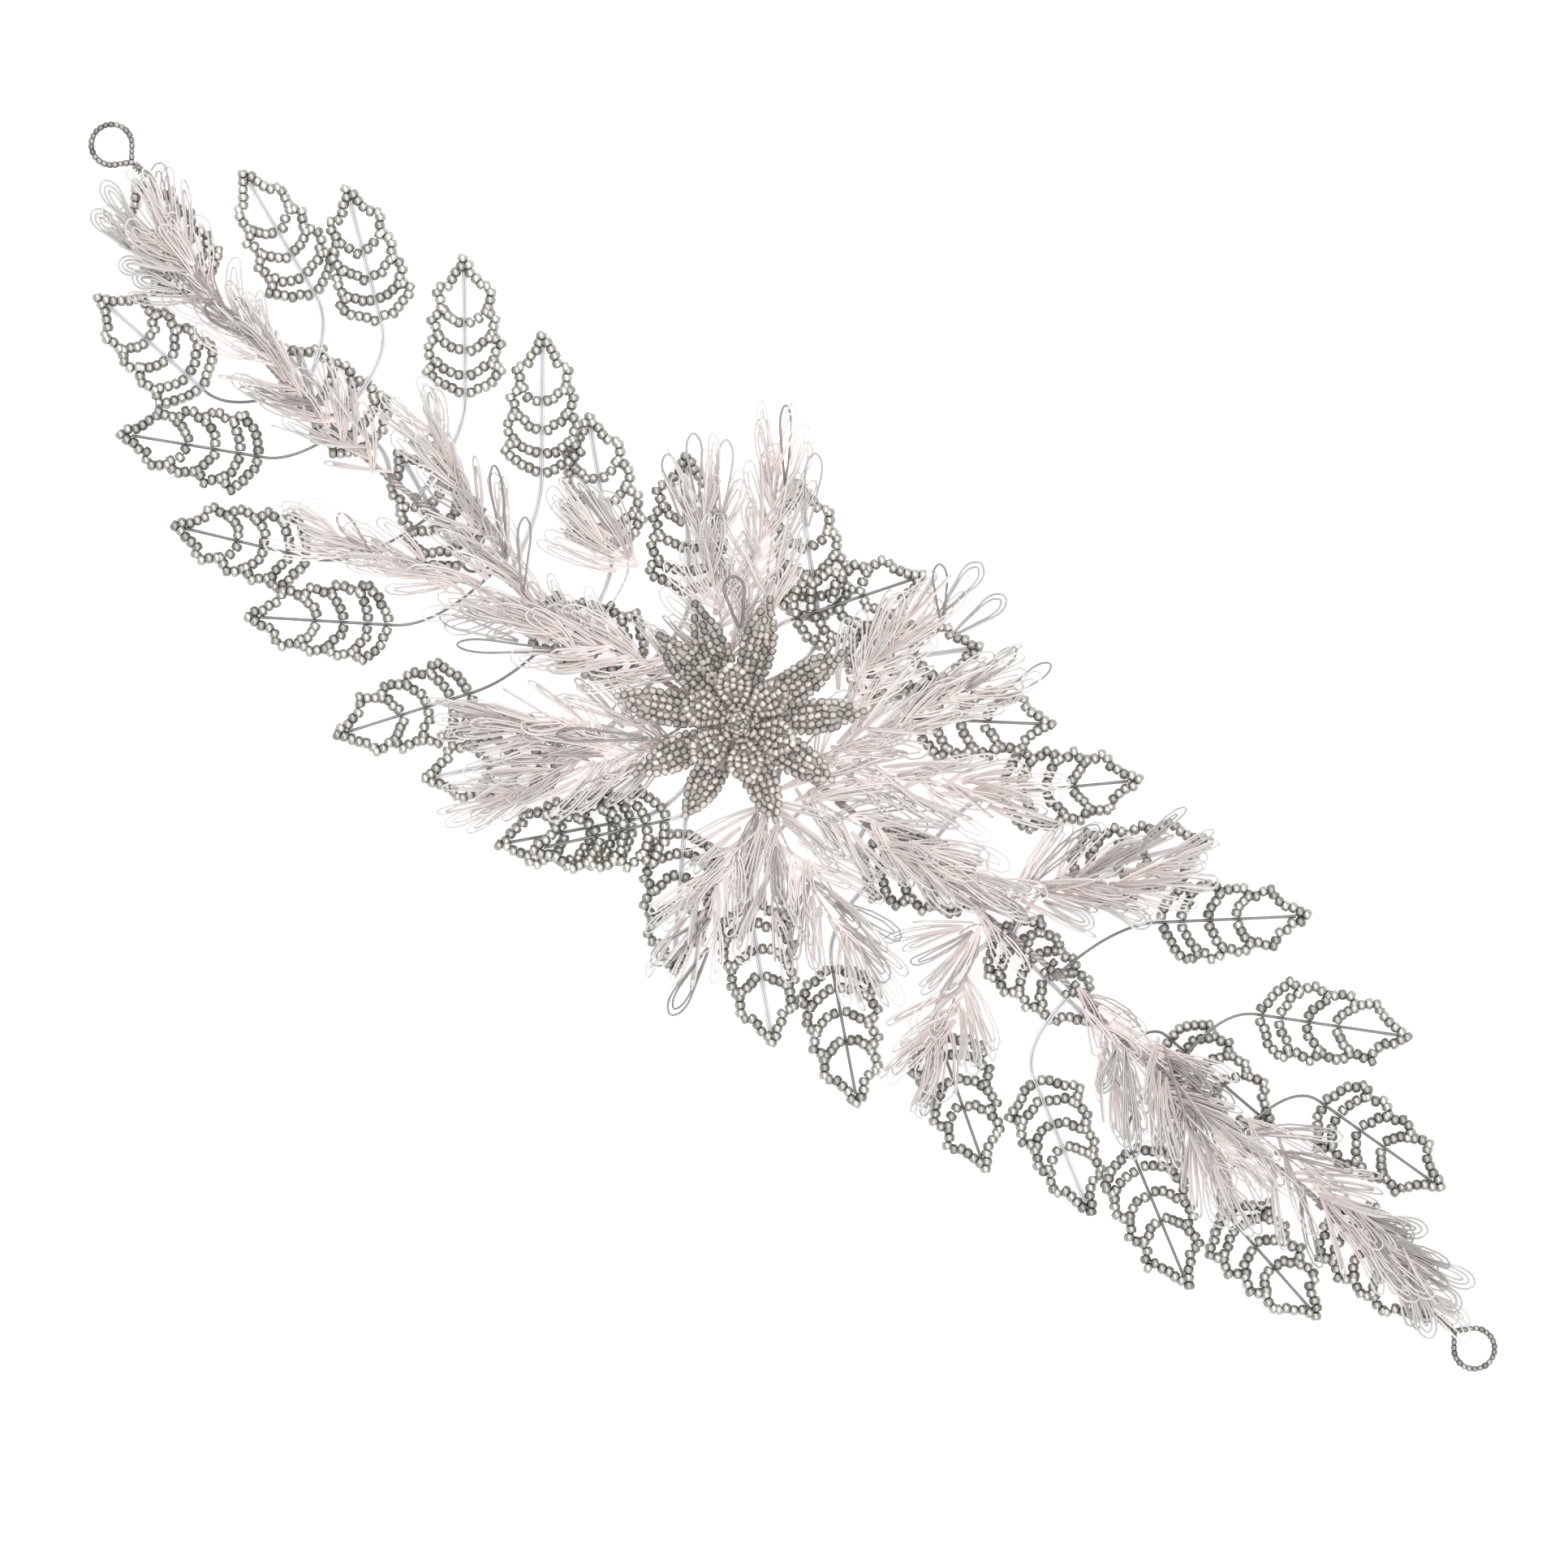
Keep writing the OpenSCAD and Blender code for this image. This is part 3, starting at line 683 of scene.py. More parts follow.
def stringing_group(wire_d=None):
    """Sets a model on every point by the point's turn and size; a line model becomes wire."""
    tree = bpy.data.node_groups.new("Bend loops" if wire_d else "String beads", "GeometryNodeTree")
    tree.is_modifier = True
    tree.interface.new_socket("Geometry", in_out="INPUT", socket_type="NodeSocketGeometry")
    tree.interface.new_socket("Model", in_out="INPUT", socket_type="NodeSocketObject")
    tree.interface.new_socket("Geometry", in_out="OUTPUT", socket_type="NodeSocketGeometry")
    b = Bench(tree)
    given = tree.nodes.new("NodeGroupInput")
    model = b.node("GeometryNodeObjectInfo", {"transform_space": "ORIGINAL"},
                   {"Object": Socket(b, given.outputs["Model"])}, out="Geometry")
    turn = b.node("GeometryNodeInputNamedAttribute", {"data_type": "FLOAT_VECTOR"}, {"Name": "turn"})
    size = b.node("GeometryNodeInputNamedAttribute", {"data_type": "FLOAT_VECTOR"}, {"Name": "size"})
    copies = b.node("GeometryNodeInstanceOnPoints", {}, {
        "Points": Socket(b, given.outputs["Geometry"]), "Instance": model,
        "Rotation": turn, "Scale": size})
    real = b.node("GeometryNodeRealizeInstances", {}, {"Geometry": copies})
    if wire_d:
        share = b.node("GeometryNodeSplineParameter", out="Factor")
        reach = 1 - abs(share * 2 - 1)
        marked = b.node("GeometryNodeStoreNamedAttribute", {"data_type": "FLOAT", "domain": "POINT"}, {
            "Geometry": real, "Name": "reach", "Value": reach})
        sway = b.node("ShaderNodeTexNoise", {}, {"Scale": 120.0, "Detail": 1.0}, out="Color")
        centred = b.node("ShaderNodeVectorMath", {"operation": "SUBTRACT"}, {0: sway, 1: (0.5, 0.5, 0.5)})
        bend = b.node("ShaderNodeVectorMath", {"operation": "SCALE"}, {
            0: centred, "Scale": reach ** 2 * (SWAY * MM)})
        bent = b.node("GeometryNodeSetPosition", {}, {"Geometry": marked, "Offset": bend})
        profile = b.node("GeometryNodeCurvePrimitiveCircle", {"mode": "RADIUS"}, {
            "Resolution": 5, "Radius": wire_d / 2})
        real = b.node("GeometryNodeCurveToMesh", {}, {"Curve": bent, "Profile Curve": profile})
        real = b.node("GeometryNodeSetShadeSmooth", {}, {"Geometry": real})
    b.node("NodeGroupOutput", {}, {"Geometry": real})
    return tree


def string_up(name, places, model, group, material):
    """A piece made of a model set on every place; each place has a point, a turn, a size and a tint."""
    mesh = bpy.data.meshes.new(name)
    mesh.from_pydata([place[0] for place in places], [], [])
    for key, column in (("turn", 1), ("size", 2)):
        layer = mesh.attributes.new(key, "FLOAT_VECTOR", "POINT")
        layer.data.foreach_set("vector", [v for place in places for v in place[column]])
    mesh.attributes.new("tint", "FLOAT", "POINT").data.foreach_set("value", [place[3] for place in places])
    piece = new_object(name, mesh)
    modifier = piece.modifiers.new("Stringing", "NODES")
    modifier.node_group = group
    modifier["Socket_1"] = model
    only(piece)
    bpy.ops.object.modifier_apply(modifier=modifier.name)
    for key in ("turn", "size"):
        if key in piece.data.attributes:
            piece.data.attributes.remove(piece.data.attributes[key])
    piece.data.materials.clear()
    piece.data.materials.append(material)
    return piece


def run_wire(name, lines, width, material, tint=0.0, sides=1):
    """Round wire along some lines, as one mesh."""
    curve = line_curve(name, lines)
    curve.bevel_depth = width / 2
    curve.bevel_resolution = sides
    curve.use_fill_caps = True
    only(new_object(name, curve))
    bpy.ops.object.convert(target="MESH")
    wire = bpy.context.object
    bpy.ops.object.shade_smooth()
    layer = wire.data.attributes.new("tint", "FLOAT", "POINT")
    layer.data.foreach_set("value", [tint] * len(wire.data.vertices))
    wire.data.materials.clear()
    wire.data.materials.append(material)
    return wire


def joined(first, *others):
    """Joins pieces into the first."""
    only(first)
    for other in others:
        other.select_set(True)
    bpy.ops.object.join()
    return bpy.context.object


def hand_over(piece, node):
    """Ties a finished piece to the vine's body and hides the solid that it stands for."""
    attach(piece, "root")
    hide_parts(node)


def put_away(model):
    """Removes a model once it is set on all its places."""
    bpy.data.objects.remove(model, do_unlink=True)


def round_about(place, along, arm, turns):
    """The point at an arm's length from a line, some turns round it."""
    side = along.cross(UP).normalized()
    up = side.cross(along)
    angle = 2 * math.pi * turns
    return place + side * math.cos(angle) * arm + up * math.sin(angle) * arm


def twisted(line, width, strands, lay):
    """Lines of some strands wound round a middle line, and the width of a strand."""
    strand_d = width / (1 + 1 / math.sin(math.pi / strands))
    arm = width / 2 - strand_d / 2
    places = walk(line, lay / LAY_POINTS)
    return [[round_about(place, along, arm, i / LAY_POINTS + s / strands)
             for i, (place, along) in enumerate(places)] for s in range(strands)], strand_d


def coil(middle, along, radius, step):
    """A winding of wire round a stretch of stem, with a step along it to each turn."""
    turns = [i / TURN_POINTS for i in range(TURNS * TURN_POINTS + 1)]
    return [round_about(middle + along * ((turn - TURNS / 2) * step), along, radius, turn) for turn in turns]


def on_stem(share, z):
    """The point of the straight-sided course at a share of the half length."""
    for (x0, y0), (x1, y1) in zip(COURSE, COURSE[1:]):
        if x0 <= share <= x1:
            return spot(share, y0 + (y1 - y0) * (share - x0) / (x1 - x0), z)
    raise ValueError("no stem at this share")


def stem_heading(share):
    """The way the stem runs at a share of the half length."""
    ahead = on_stem(min(0.94, share + 0.01), STEM_Z) - on_stem(max(-0.94, share - 0.01), STEM_Z)
    return ahead.normalized()


class HAIRVINE_OT_stem(bpy.types.Operator):
    """Twist the main stem and wind the tie at each leaf's foot"""
    bl_idname = "hairvine.stem"
    bl_label = "Twist Stem"

    def execute(self, context):
        colours = context.scene.hair_vine_colours
        silver = drawn_wire_finish("stem_wire_silver", colours, shade(colours.rose_cast, 0.72))
        course = smooth([spot(*at, STEM_Z) for at in COURSE], 6)
        lines, strand_d = twisted(course, STEM_D * MM, STEM_STRANDS, STEM_LAY * MM)
        stem = run_wire("main_stem_wire", lines, strand_d, silver, tint=0.2)
        radius = (STEM_D / 2 + TIE_OUT) * MM
        ties = [coil(on_stem(foot_at, STEM_Z), stem_heading(foot_at), radius, TIE_STEP * MM)
                for *_, foot_at in LEAVES]
        wound = run_wire("stem_ties", ties, TIE_D * MM, silver, tint=0.4, sides=0)

        bead, group = model_seed_bead(), stringing_group()
        glass = lined_glass("stem_bead_glass", shade(colours.leaf_bead, 0.8), 0.7)
        rng = random.Random("stem beads")
        places = []
        for share in STEM_BEADS:
            heading = stem_heading(share)
            across = heading.cross(UP)
            middle = on_stem(share, STEM_Z + STEM_D / 2 + ROW_LIFT)
            for i in (-1, 0, 1):
                at = middle + (across * i * ROW_PITCH - (heading * ROW_BOW + UP * ROW_DROP) * abs(i)) * MM
                places.append(strung(rng, at, across, ROW_BEAD * MM, 0.8))
        beads = string_up("stem_beads", places, bead, group, glass)
        put_away(bead)
        hand_over(joined(stem, wound, beads), "main_stem")
        return {"FINISHED"}


class HAIRVINE_OT_end_loops(bpy.types.Operator):
    """String the beaded eye at each end of the stem and wind its neck"""
    bl_idname = "hairvine.end_loops"
    bl_label = "String End Loops"

    def execute(self, context):
        sizes, colours = wanted(context)
        glass = lined_glass("end_loop_glass", shade(colours.leaf_bead, 0.64), 0.8)
        silver = drawn_wire_finish("end_loop_wire", colours)
        bead, group = model_seed_bead(), stringing_group()
        touch = math.acos(LOOP_R / (LOOP_X - NECK_X))
        foot = (NECK_X + RING_FOOT, 0.0)
        for side, name in ((-1, "end_loop_left"), (1, "end_loop_right")):
            rng = random.Random(f"{name} beads")
            ring = []
            for i in range(RING_STEPS + 1):
                angle = math.pi + touch + (2 * math.pi - 2 * touch) * i / RING_STEPS
                ring.append((LOOP_X + LOOP_R * math.cos(angle), LOOP_R * math.sin(angle)))
            line = [mm(side * x, y, STEM_Z) for x, y in (foot, *ring, foot)]
            places = []
            for place, along in walk(line, RING_PACK * sizes.loop_bead):
                wide = sizes.loop_bead * rng.uniform(*RING_SPREAD)
                places.append(strung(rng, place, along, (wide * RING_LONG, wide, wide)))
            beads = string_up(f"{name}_beads", places, bead, group, glass)
            neck = mm(side * (NECK_X - NECK_LEN / 2), 0, STEM_Z)
            windings = coil(neck, Vector((side, 0, 0)), (STEM_D / 2 + NECK_OUT) * MM, NECK_STEP * MM)
            core = run_wire(f"{name}_wire", [line], CORE_D * MM, silver, tint=0.9)
            wrap = run_wire(f"{name}_neck", [windings], NECK_D * MM, silver, tint=0.8)
            hand_over(joined(beads, core, wrap), name)
        put_away(bead)
        return {"FINISHED"}


def crescent(foot_u, end_u, end_v, first, last=1.0):
    """A half string that bows from the midrib out to the edge, in shares of a leaf."""
    steps = 8
    shares = [first + (last - first) * i / steps for i in range(steps + 1)]
    return [(foot_u + (end_u - foot_u) * t ** BULGE, end_v * t) for t in shares]


def leaf_strings():
    """The strings of one half of a leaf, in shares of its length and width."""
    gap = 1.05 / LEAF_W
    edge = crescent(BASE_U, *EDGE[0], gap / EDGE[0][1])
    outline = edge[:-1] + [tuple(p) for p in smooth([(*p, 0) for p in EDGE + [(TIP_U, 0.0)]], 4)]
    strings = [[(p[0], p[1]) for p in outline]]
    for foot, end_u, end_v in CRESCENTS:
        strings.append(crescent(foot, end_u, end_v, gap / end_v, 0.9))
    return strings


def leaf_beads(rng, lie, length, tone, halves, sizes):
    """The beads of one leaf and the wires that they are strung on."""
    lay = lie.to_3x3()
    lift = UP * (sizes.leaf_bead / 2 - (BEAD_H / 2 - REST_GAP) * MM)
    places, cores = [], []
    for side in (1, -1):
        breadth = LEAF_W * rng.uniform(*HALF_BREADTHS)
        for string in halves:
            line = [lie @ mm(u * length, side * v * breadth) for u, v in string]
            cores.append(line[::3] + [line[-1]])
            stops = walk(line, sizes.leaf_pitch)
            if side < 0 and string is halves[0]:
                stops = stops[:-1]
            for place, run in stops:
                wide = sizes.leaf_bead * rng.uniform(*LEAF_SPREAD)
                across = run.cross(lay.col[2]).normalized()
                shifted = place + across * rng.uniform(-LEAF_STRAY, LEAF_STRAY) * MM + lift
                lean = (run + across * rng.uniform(-LEAF_LEAN, LEAF_LEAN)).normalized()
                size = (sizes.leaf_pitch * LEAF_LONG, wide, wide)
                places.append(strung(rng, shifted, lean, size, 0.8, tone))
    return places, cores


def leaf_wires(number, lie, length, foot, silver):
    """The midrib of a leaf and the stalk that bows down to the stem, each one dark wire or a pale pair."""
    tip = lie @ mm(MIDRIB_U * length, 0, -0.1)
    start = lie @ mm(0)
    knee = start - lie.to_3x3().col[0].normalized() * (foot - start).length * STALK_KNEE
    bow = [start.lerp(knee, t).lerp(knee.lerp(foot, t), t) for t in [i / 12 for i in range(13)]]
    wires = []
    for part, line, dark in (("rib", [tip, tip.lerp(start, 0.5), start], DARK_RIBS),
                             ("stalk", bow, DARK_STALKS)):
        name = f"leaf_{number:02d}_{part}"
        if number in dark:
            wires.append(run_wire(name, [line], LEAF_WIRE_D * MM, silver, tint=1.0))
        else:
            aside = line[0] - line[-1]
            aside = Vector((-aside.y, aside.x, 0)).normalized() * PAIR_OUT * MM
            pair = [[p + aside for p in line], [p - aside for p in line]]
            wires.append(run_wire(name, pair, PALE_D * MM, silver, tint=0.05))
    return wires


class HAIRVINE_OT_leaves(bpy.types.Operator):
    """String the beads of every leaf on its wire frame"""
    bl_idname = "hairvine.leaves"
    bl_label = "String Leaves"

    def execute(self, context):
        sizes, colours = wanted(context)
        glass = lined_glass("leaf_glass", colours.leaf_bead, 0.7)
        silver = drawn_wire_finish("leaf_wire_silver", colours)
        bead, group = model_seed_bead(), stringing_group()
        halves = leaf_strings()
        for number, (along, out, heading, share, layer, rise, foot_at) in enumerate(LEAVES, 1):
            name = f"leaf_{number:02d}"
            length = share * LEAF_LEN
            pitch = math.asin(rise * LAYER_H / length)
            base_z = layer * LAYER_H + rise * LAYER_H + BEAD_H / 2 * math.cos(pitch)
            lie = laid(spot(along, out, base_z), pitch, heading)
            # Partly painted light: the listed leaves get lighter beads to lift the shade where leaves overlap
            tone = PALE_TONE if number in PALE_LEAVES else 0.0
            places, cores = leaf_beads(random.Random(f"leaf {number}"), lie, length, tone, halves, sizes)
            beads = string_up(f"{name}_beads", places, bead, group, glass)
            strings = run_wire(f"{name}_frame", cores, FRAME_D * MM, silver, tint=0.5, sides=0)
            foot = on_stem(foot_at, STEM_Z - STEM_D / 2 - TIE_GAP - LEAF_WIRE_D / 2)
            wires = leaf_wires(number, lie, length, foot, silver)
            hand_over(joined(beads, strings, *wires), name)
        put_away(bead)
        return {"FINISHED"}


def spray_loops(row, node, lie, length, twig, spread, sizes):
    """The loops of one spray, each with its foot, its turn, its size and its tint."""
    rng = random.Random(f"spray {row}")
    first = INNER_LOOP if node in INNER_SPRAYS else LATE_LOOP.get(row, FIRST_LOOP)
    count = max(8, round(length * MM * (1 - first) * FILL.get(row, 1.0) / sizes.loop_pitch))
    loops = []
    for i in range(count):
        t = min(1.0, (i + rng.uniform(0, 0.9)) / (count - 1)) ** TIP_CROWD
        upward = LOW_ROLL + (HIGH_ROLL - LOW_ROLL) * ((i * GOLDEN) % 1.0) ** ROLL_BIAS
        roll = upward if i % 2 == 0 else 180 - upward
        lean = min(MOST_LEAN, (ROOT_LEAN + (TIP_LEAN - ROOT_LEAN) * t) * spread * rng.uniform(*LEAN_SPREAD))
        root = twig * (first + (1 - first) * t) - FOOT_BACK
        start = lie @ mm(root)
        if near_flower(start.x / MM, start.y / MM):
            roll = 90 - math.copysign(rng.uniform(*FLAT_ROLL), 90 - roll)
        pose = (lie @ moved(root, rng.uniform(-FOOT_SIDE, FOOT_SIDE)) @ turned(roll, "X")
                @ turned(lean, "Z") @ Matrix.Rotation(rng.uniform(-FOOT_TURN, FOOT_TURN), 4, "X"))
        reach = BLADE_LEN * MM * rng.uniform(LOOP_REACH[0], LOOP_REACH[1] - TIP_REACH * t)
        half = sizes.loop_width / 2 * rng.uniform(*LOOP_WIDTHS)
        tint = rng.random() * (GREY_MOST if row in GREY_ROWS else 1.0)
        # Painted light: the paler rows' loops get a raised tint, lifting their crowded plumes out of shade
        if row in PALE_ROWS:
            tint = PALE_LEAST + (1 - PALE_LEAST) * tint
        loops.append((pose.translation, pose.to_euler(), (reach, half, 1.0), tint))
    return loops


def runner_loops(start, stop, pitch, node, brightest, sizes):
    """Loops that run along a stretch of the main stem."""
    rng = random.Random(f"runner {node} {start}")
    count = round(abs(stop - start) * HALF_SPAN / pitch)
    loops = []
    for i in range(count):
        share = start + (stop - start) * i / count
        run = stem_heading(share) * (1 if stop > start else -1)
        heading = math.atan2(run.y, run.x) + math.radians(rng.choice((-1, 1)) * rng.uniform(*RUNNER_LEAN))
        foot = on_stem(share, STEM_Z + rng.uniform(*RUNNER_LIFT))
        foot += mm(0, rng.uniform(-RUNNER_SIDE, RUNNER_SIDE))
        turn = Euler((rng.uniform(-RUNNER_ROLL, RUNNER_ROLL), 0, heading))
        reach = BLADE_LEN * MM * rng.uniform(*RUNNER_REACH)
        half = sizes.loop_width / 2 * rng.uniform(*RUNNER_WIDTHS)
        loops.append((foot, turn, (reach, half, 1.0), rng.random() * brightest))
    return loops


def lone_lines(end_x, end_y, foot_x, foot_y, wide, tint):
    """The courses of a loop that stands out alone and of those that nest in it."""
    run = Vector((end_x - foot_x, end_y - foot_y, 0))
    foot = Vector((foot_x, foot_y, FLOWER_LONE_Z if near_flower(foot_x, foot_y) else LONE_Z))
    aside = Vector((-run.y, run.x, 0)).normalized() * wide / 2
    lines = []
    for nest in range(3 if tint > 0.75 else 2 if wide > 3 and tint > 0.1 else 1):
        half = [(u * (1 - NEST_SHORT * nest), v * (1 - NEST_NARROW * nest)) for u, v in LONE_HALF]
        outline = half + [(1.02 - NEST_SHORT * nest, 0.0)] + [(u, -v) for u, v in reversed(half)]
        lines.append([p * MM for p in smooth(
            [foot + run * u + aside * v + UP * (1.2 * math.sin(3 * u) - 0.3 * nest) for u, v in outline], 3)])
    return lines


class HAIRVINE_OT_sprays(bpy.types.Operator):
    """Bend the fine wire loops of every spray along its twig"""
    bl_idname = "hairvine.sprays"
    bl_label = "Bend Sprays"

    def execute(self, context):
        sizes, colours = wanted(context)
        fine = loop_wire_finish("spray_loop_wire", colours)
        silver = drawn_wire_finish("spray_twig_wire", colours, colours.spray_wire)
        hairpin, group = model_hairpin(), stringing_group(sizes.loop_wire)
        fans = {node: ([], [], []) for node in range(1, 17)}
        for row, (along, out, heading, share, spread, tilt, foot_at, node) in enumerate(SPRAYS):
            length = share * SPRAY_LEN
            twig = length - BLADE_LEN * math.cos(math.radians(TIP_LEAN)) * 0.9
            base = spot(along, out, TWIG_Z)
            lie = laid(base, -math.radians(tilt), heading)
            end = lie @ mm(twig)
            fans[node][0].extend(spray_loops(row, node, lie, length, twig, spread, sizes))
            fans[node][1].append(smooth([on_stem(foot_at, TWIG_Z), base, end], 6))
        for *stretch, node, brightest in RUNNERS:
            fans[node][0].extend(runner_loops(*stretch, node, brightest, sizes))
        for *course, tint, node in LONE_LOOPS:
            fans[node][2].extend((line, tint) for line in lone_lines(*course, tint))
        for node, (loops, twigs, alone) in fans.items():
            name = f"spray_{node:02d}"
            fan = string_up(f"{name}_loops", loops, hairpin, group, fine)
            for number, (line, tint) in enumerate(alone):
                thick = LEAF_WIRE_D if tint < 0.05 else PALE_D
                lone = run_wire(f"{name}_lone_{number}", [line], thick * MM, silver, 0.95 - 0.8 * tint)
                fan = joined(fan, lone)
            strands = []
            for line in twigs:
                wound, strand_d = twisted(line, TWIG_WIRE_D * MM, 2, TWIG_LAY * MM)
                strands += wound
            twig_wire = run_wire(f"{name}_twig", strands, strand_d, silver, tint=0.1)
            hand_over(joined(fan, twig_wire), name)
        put_away(hairpin)
        return {"FINISHED"}


def petal_half(u):
    """Half width of a petal at a share of its length, as a share."""
    stops = [(0.0, 0.3)] + PETAL + [(1.0, 0.0)]
    for (u0, v0), (u1, v1) in zip(stops, stops[1:]):
        if u0 <= u <= u1:
            return v0 + (v1 - v0) * (u - u0) / (u1 - u0)
    return 0.0


def petal_rows(length, first_u, bead):
    """Places of the beads of one petal in rows that follow its outline, flat, in millimetres."""
    placed = []
    for row in (-1.0, 1.0, 0.0, -0.5, 0.5):
        line = []
        for i in range(41):
            u = first_u + (1 - first_u) * i / 40
            inset = max(0.0, petal_half(u) * PETAL_W / 2 - bead / 2)
            line.append(Vector((min(u * length, length - bead / 2), row * inset, 0)))
        for place, run in walk(line, bead * 0.94):
            if all((place - other[0]).length > bead * 0.8 for other in placed):
                placed.append((place, run, abs(row) == 1))
    return placed


def petal_beads(rng, lie, length, first_u, width, tone=0.0):
    """The beads of one petal, each a little off its place."""
    lay = lie.to_3x3()
    beads = []
    for place, run, edge in petal_rows(length, first_u, width / MM):
        wide = width * rng.uniform(*PETAL_SPREAD)
        stray = Vector([rng.uniform(-far, far) for far in PETAL_STRAY])
        run = run + Vector((0, rng.uniform(-PETAL_LEAN, PETAL_LEAN), 0))
        beads.append(strung(rng, lie @ ((place + stray) * MM), lay @ run, (wide * PETAL_LONG, wide, wide),
                            0.75 if edge else 1.0, tone * place.x / PETAL_LEN))
    return beads


def petal_cloth(name, lie, length, first_u, cloth_wire):
    """The wire cloth under the beads of a petal."""
    rim = [first_u + (CLOTH_END - first_u) * i / 12 for i in range(13)]
    half = [(u * length, max(0.1, petal_half(u) * PETAL_W / 2 - CLOTH_IN)) for u in rim]
    ring = mirrored(half)
    mesh = bpy.data.meshes.new(name)
    count = len(ring)
    points = [lie @ mm(x, y, z) for z in CLOTH_Z for x, y in ring]
    sides = [(i, (i + 1) % count, count + (i + 1) % count, count + i) for i in range(count)]
    mesh.from_pydata(points, [], [tuple(range(count)), tuple(range(count, 2 * count))] + sides)
    cloth = new_object(name, mesh)
    only(cloth)
    bpy.ops.object.mode_set(mode="EDIT")
    bpy.ops.mesh.select_all(action="SELECT")
    bpy.ops.mesh.normals_make_consistent(inside=False)
    bpy.ops.object.mode_set(mode="OBJECT")
    mesh.materials.append(cloth_wire)
    return cloth


def cloth_disc(name, radius, low, high, cloth_wire):
    """A disc of wire cloth in the flower's middle, with a rounded rim."""
    bpy.ops.object.select_all(action="DESELECT")
    bpy.ops.mesh.primitive_cylinder_add(
        vertices=32, radius=radius * MM, depth=(high - low) * MM,
        location=mm(*FLOWER_AT, (low + high) / 2))
    plate = bpy.context.object
    plate.name = name
    bpy.ops.object.transform_apply(location=True)
    bevel = plate.modifiers.new("Rim", "BEVEL")
    bevel.width = RIM * MM
    bevel.segments = 2
    bpy.ops.object.modifier_apply(modifier=bevel.name)
    plate.data.materials.append(cloth_wire)
    return plate


class HAIRVINE_OT_flower(bpy.types.Operator):
    """Set the bead rows of the flower's petals and the bead dome in its middle"""
    bl_idname = "hairvine.flower"
    bl_label = "Bead Flower"

    def execute(self, context):
        sizes, colours = wanted(context)
        glass = lined_glass("flower_glass", shade(colours.petal_bead, 1.06), 0.6, 0.5)
        dark = lined_glass("button_glass", shade(colours.petal_bead, 1.1), 0.9, 0.5)
        cloth_wire = wire_cloth_finish("flower_backing", colours.petal_bead)
        bead, group = model_seed_bead(), stringing_group()
        width = sizes.petal_bead
        centre = moved(*FLOWER_AT)

        rng = random.Random("outer petals")
        places, cloths = [], []
        for number, (heading, share, tone) in enumerate(PETALS):
            lie = centre @ moved(0, 0, HUB_Z + PETAL_BEAD_Z) @ turned(heading, "Z")
            places += petal_beads(rng, lie, share * PETAL_LEN, 0.14, width, tone)
            cloths.append(petal_cloth(f"petal_cloth_{number}", lie, share * PETAL_LEN, 0.12, cloth_wire))
        petals = string_up("outer_petal_beads", places, bead, group, glass)
        cloths.append(cloth_disc("outer_hub", HUB_D / 2, HUB_Z, HUB_Z + HUB_T, cloth_wire))
        cloths.append(cloth_disc("flower_post", POST_D / 2, STEM_Z + STEM_D / 2 + TIE_GAP, HUB_Z, cloth_wire))
        hand_over(joined(petals, *cloths), "outer_petals")

        rng = random.Random("inner petals")
        # A lighter copy of the flower beads for the inner petals: partly their own paler tone, partly painted
        # light that lifts the shade of the flower's crowded middle
        light = lined_glass("inner_flower_glass", shade(colours.petal_bead, 1.37), 0.5, 0.5)
        places, cloths = [], []
        hub_edge = INNER_HUB_D / 2
        for i in range(INNER_COUNT):
            lie = (centre @ moved(0, 0, INNER_Z + PETAL_BEAD_Z)
                   @ turned(INNER_TURN + i * 360 / INNER_COUNT, "Z")
                   @ moved(hub_edge - HUB_T) @ turned(-INNER_RISE, "Y"))
            places += petal_beads(rng, lie, INNER_LEN - hub_edge, 0.12, width)
            cloths.append(petal_cloth(f"inner_cloth_{i}", lie, INNER_LEN - hub_edge, 0.1, cloth_wire))
        for i in range(RING_BEADS):
            out = Vector((math.cos(i * GOLDEN_TURN), math.sin(i * GOLDEN_TURN), 0))
            at = Vector((*FLOWER_AT, INNER_Z + HUB_T + 0.35 + rng.uniform(-0.1, 0.5)))
            at += out * (hub_edge - 0.4 - 0.7 * (i % 3))
            wide = width * rng.uniform(*PETAL_SPREAD)
            places.append(strung(rng, at * MM, out.cross(UP), (wide * PETAL_LONG, wide, wide), 0.3))
        inner = string_up("inner_petal_beads", places, bead, group, light)
        cloths.append(cloth_disc("inner_hub", hub_edge, INNER_Z, INNER_Z + HUB_T, cloth_wire))
        hand_over(joined(inner, *cloths), "inner_petals")

        rng = random.Random("button")
        middle = centre @ mm(0, 0, BUTTON_Z)
        places = []
        for i in range(DOME_BEADS):
            height = 0.9 - 1.4 * i / (DOME_BEADS - 1)
            flat = math.sqrt(1 - height * height)
            out = Vector((flat * math.cos(i * GOLDEN_TURN), flat * math.sin(i * GOLDEN_TURN), height))
            wide = DOME_BEAD * MM * rng.uniform(*DOME_SPREAD)
            places.append(strung(rng, middle + out * (BUTTON_D / 2 - 0.45) * MM, out.cross(UP).normalized(),
                                 (wide * DOME_LONG, wide, wide)))
        button = string_up("flower_button_beads", places, bead, group, dark)
        cup = cloth_disc("button_core", 1.2, BUTTON_Z - 1.9, BUTTON_Z + 0.9, cloth_wire)
        hand_over(joined(button, cup), "flower_button")
        put_away(bead)
        return {"FINISHED"}


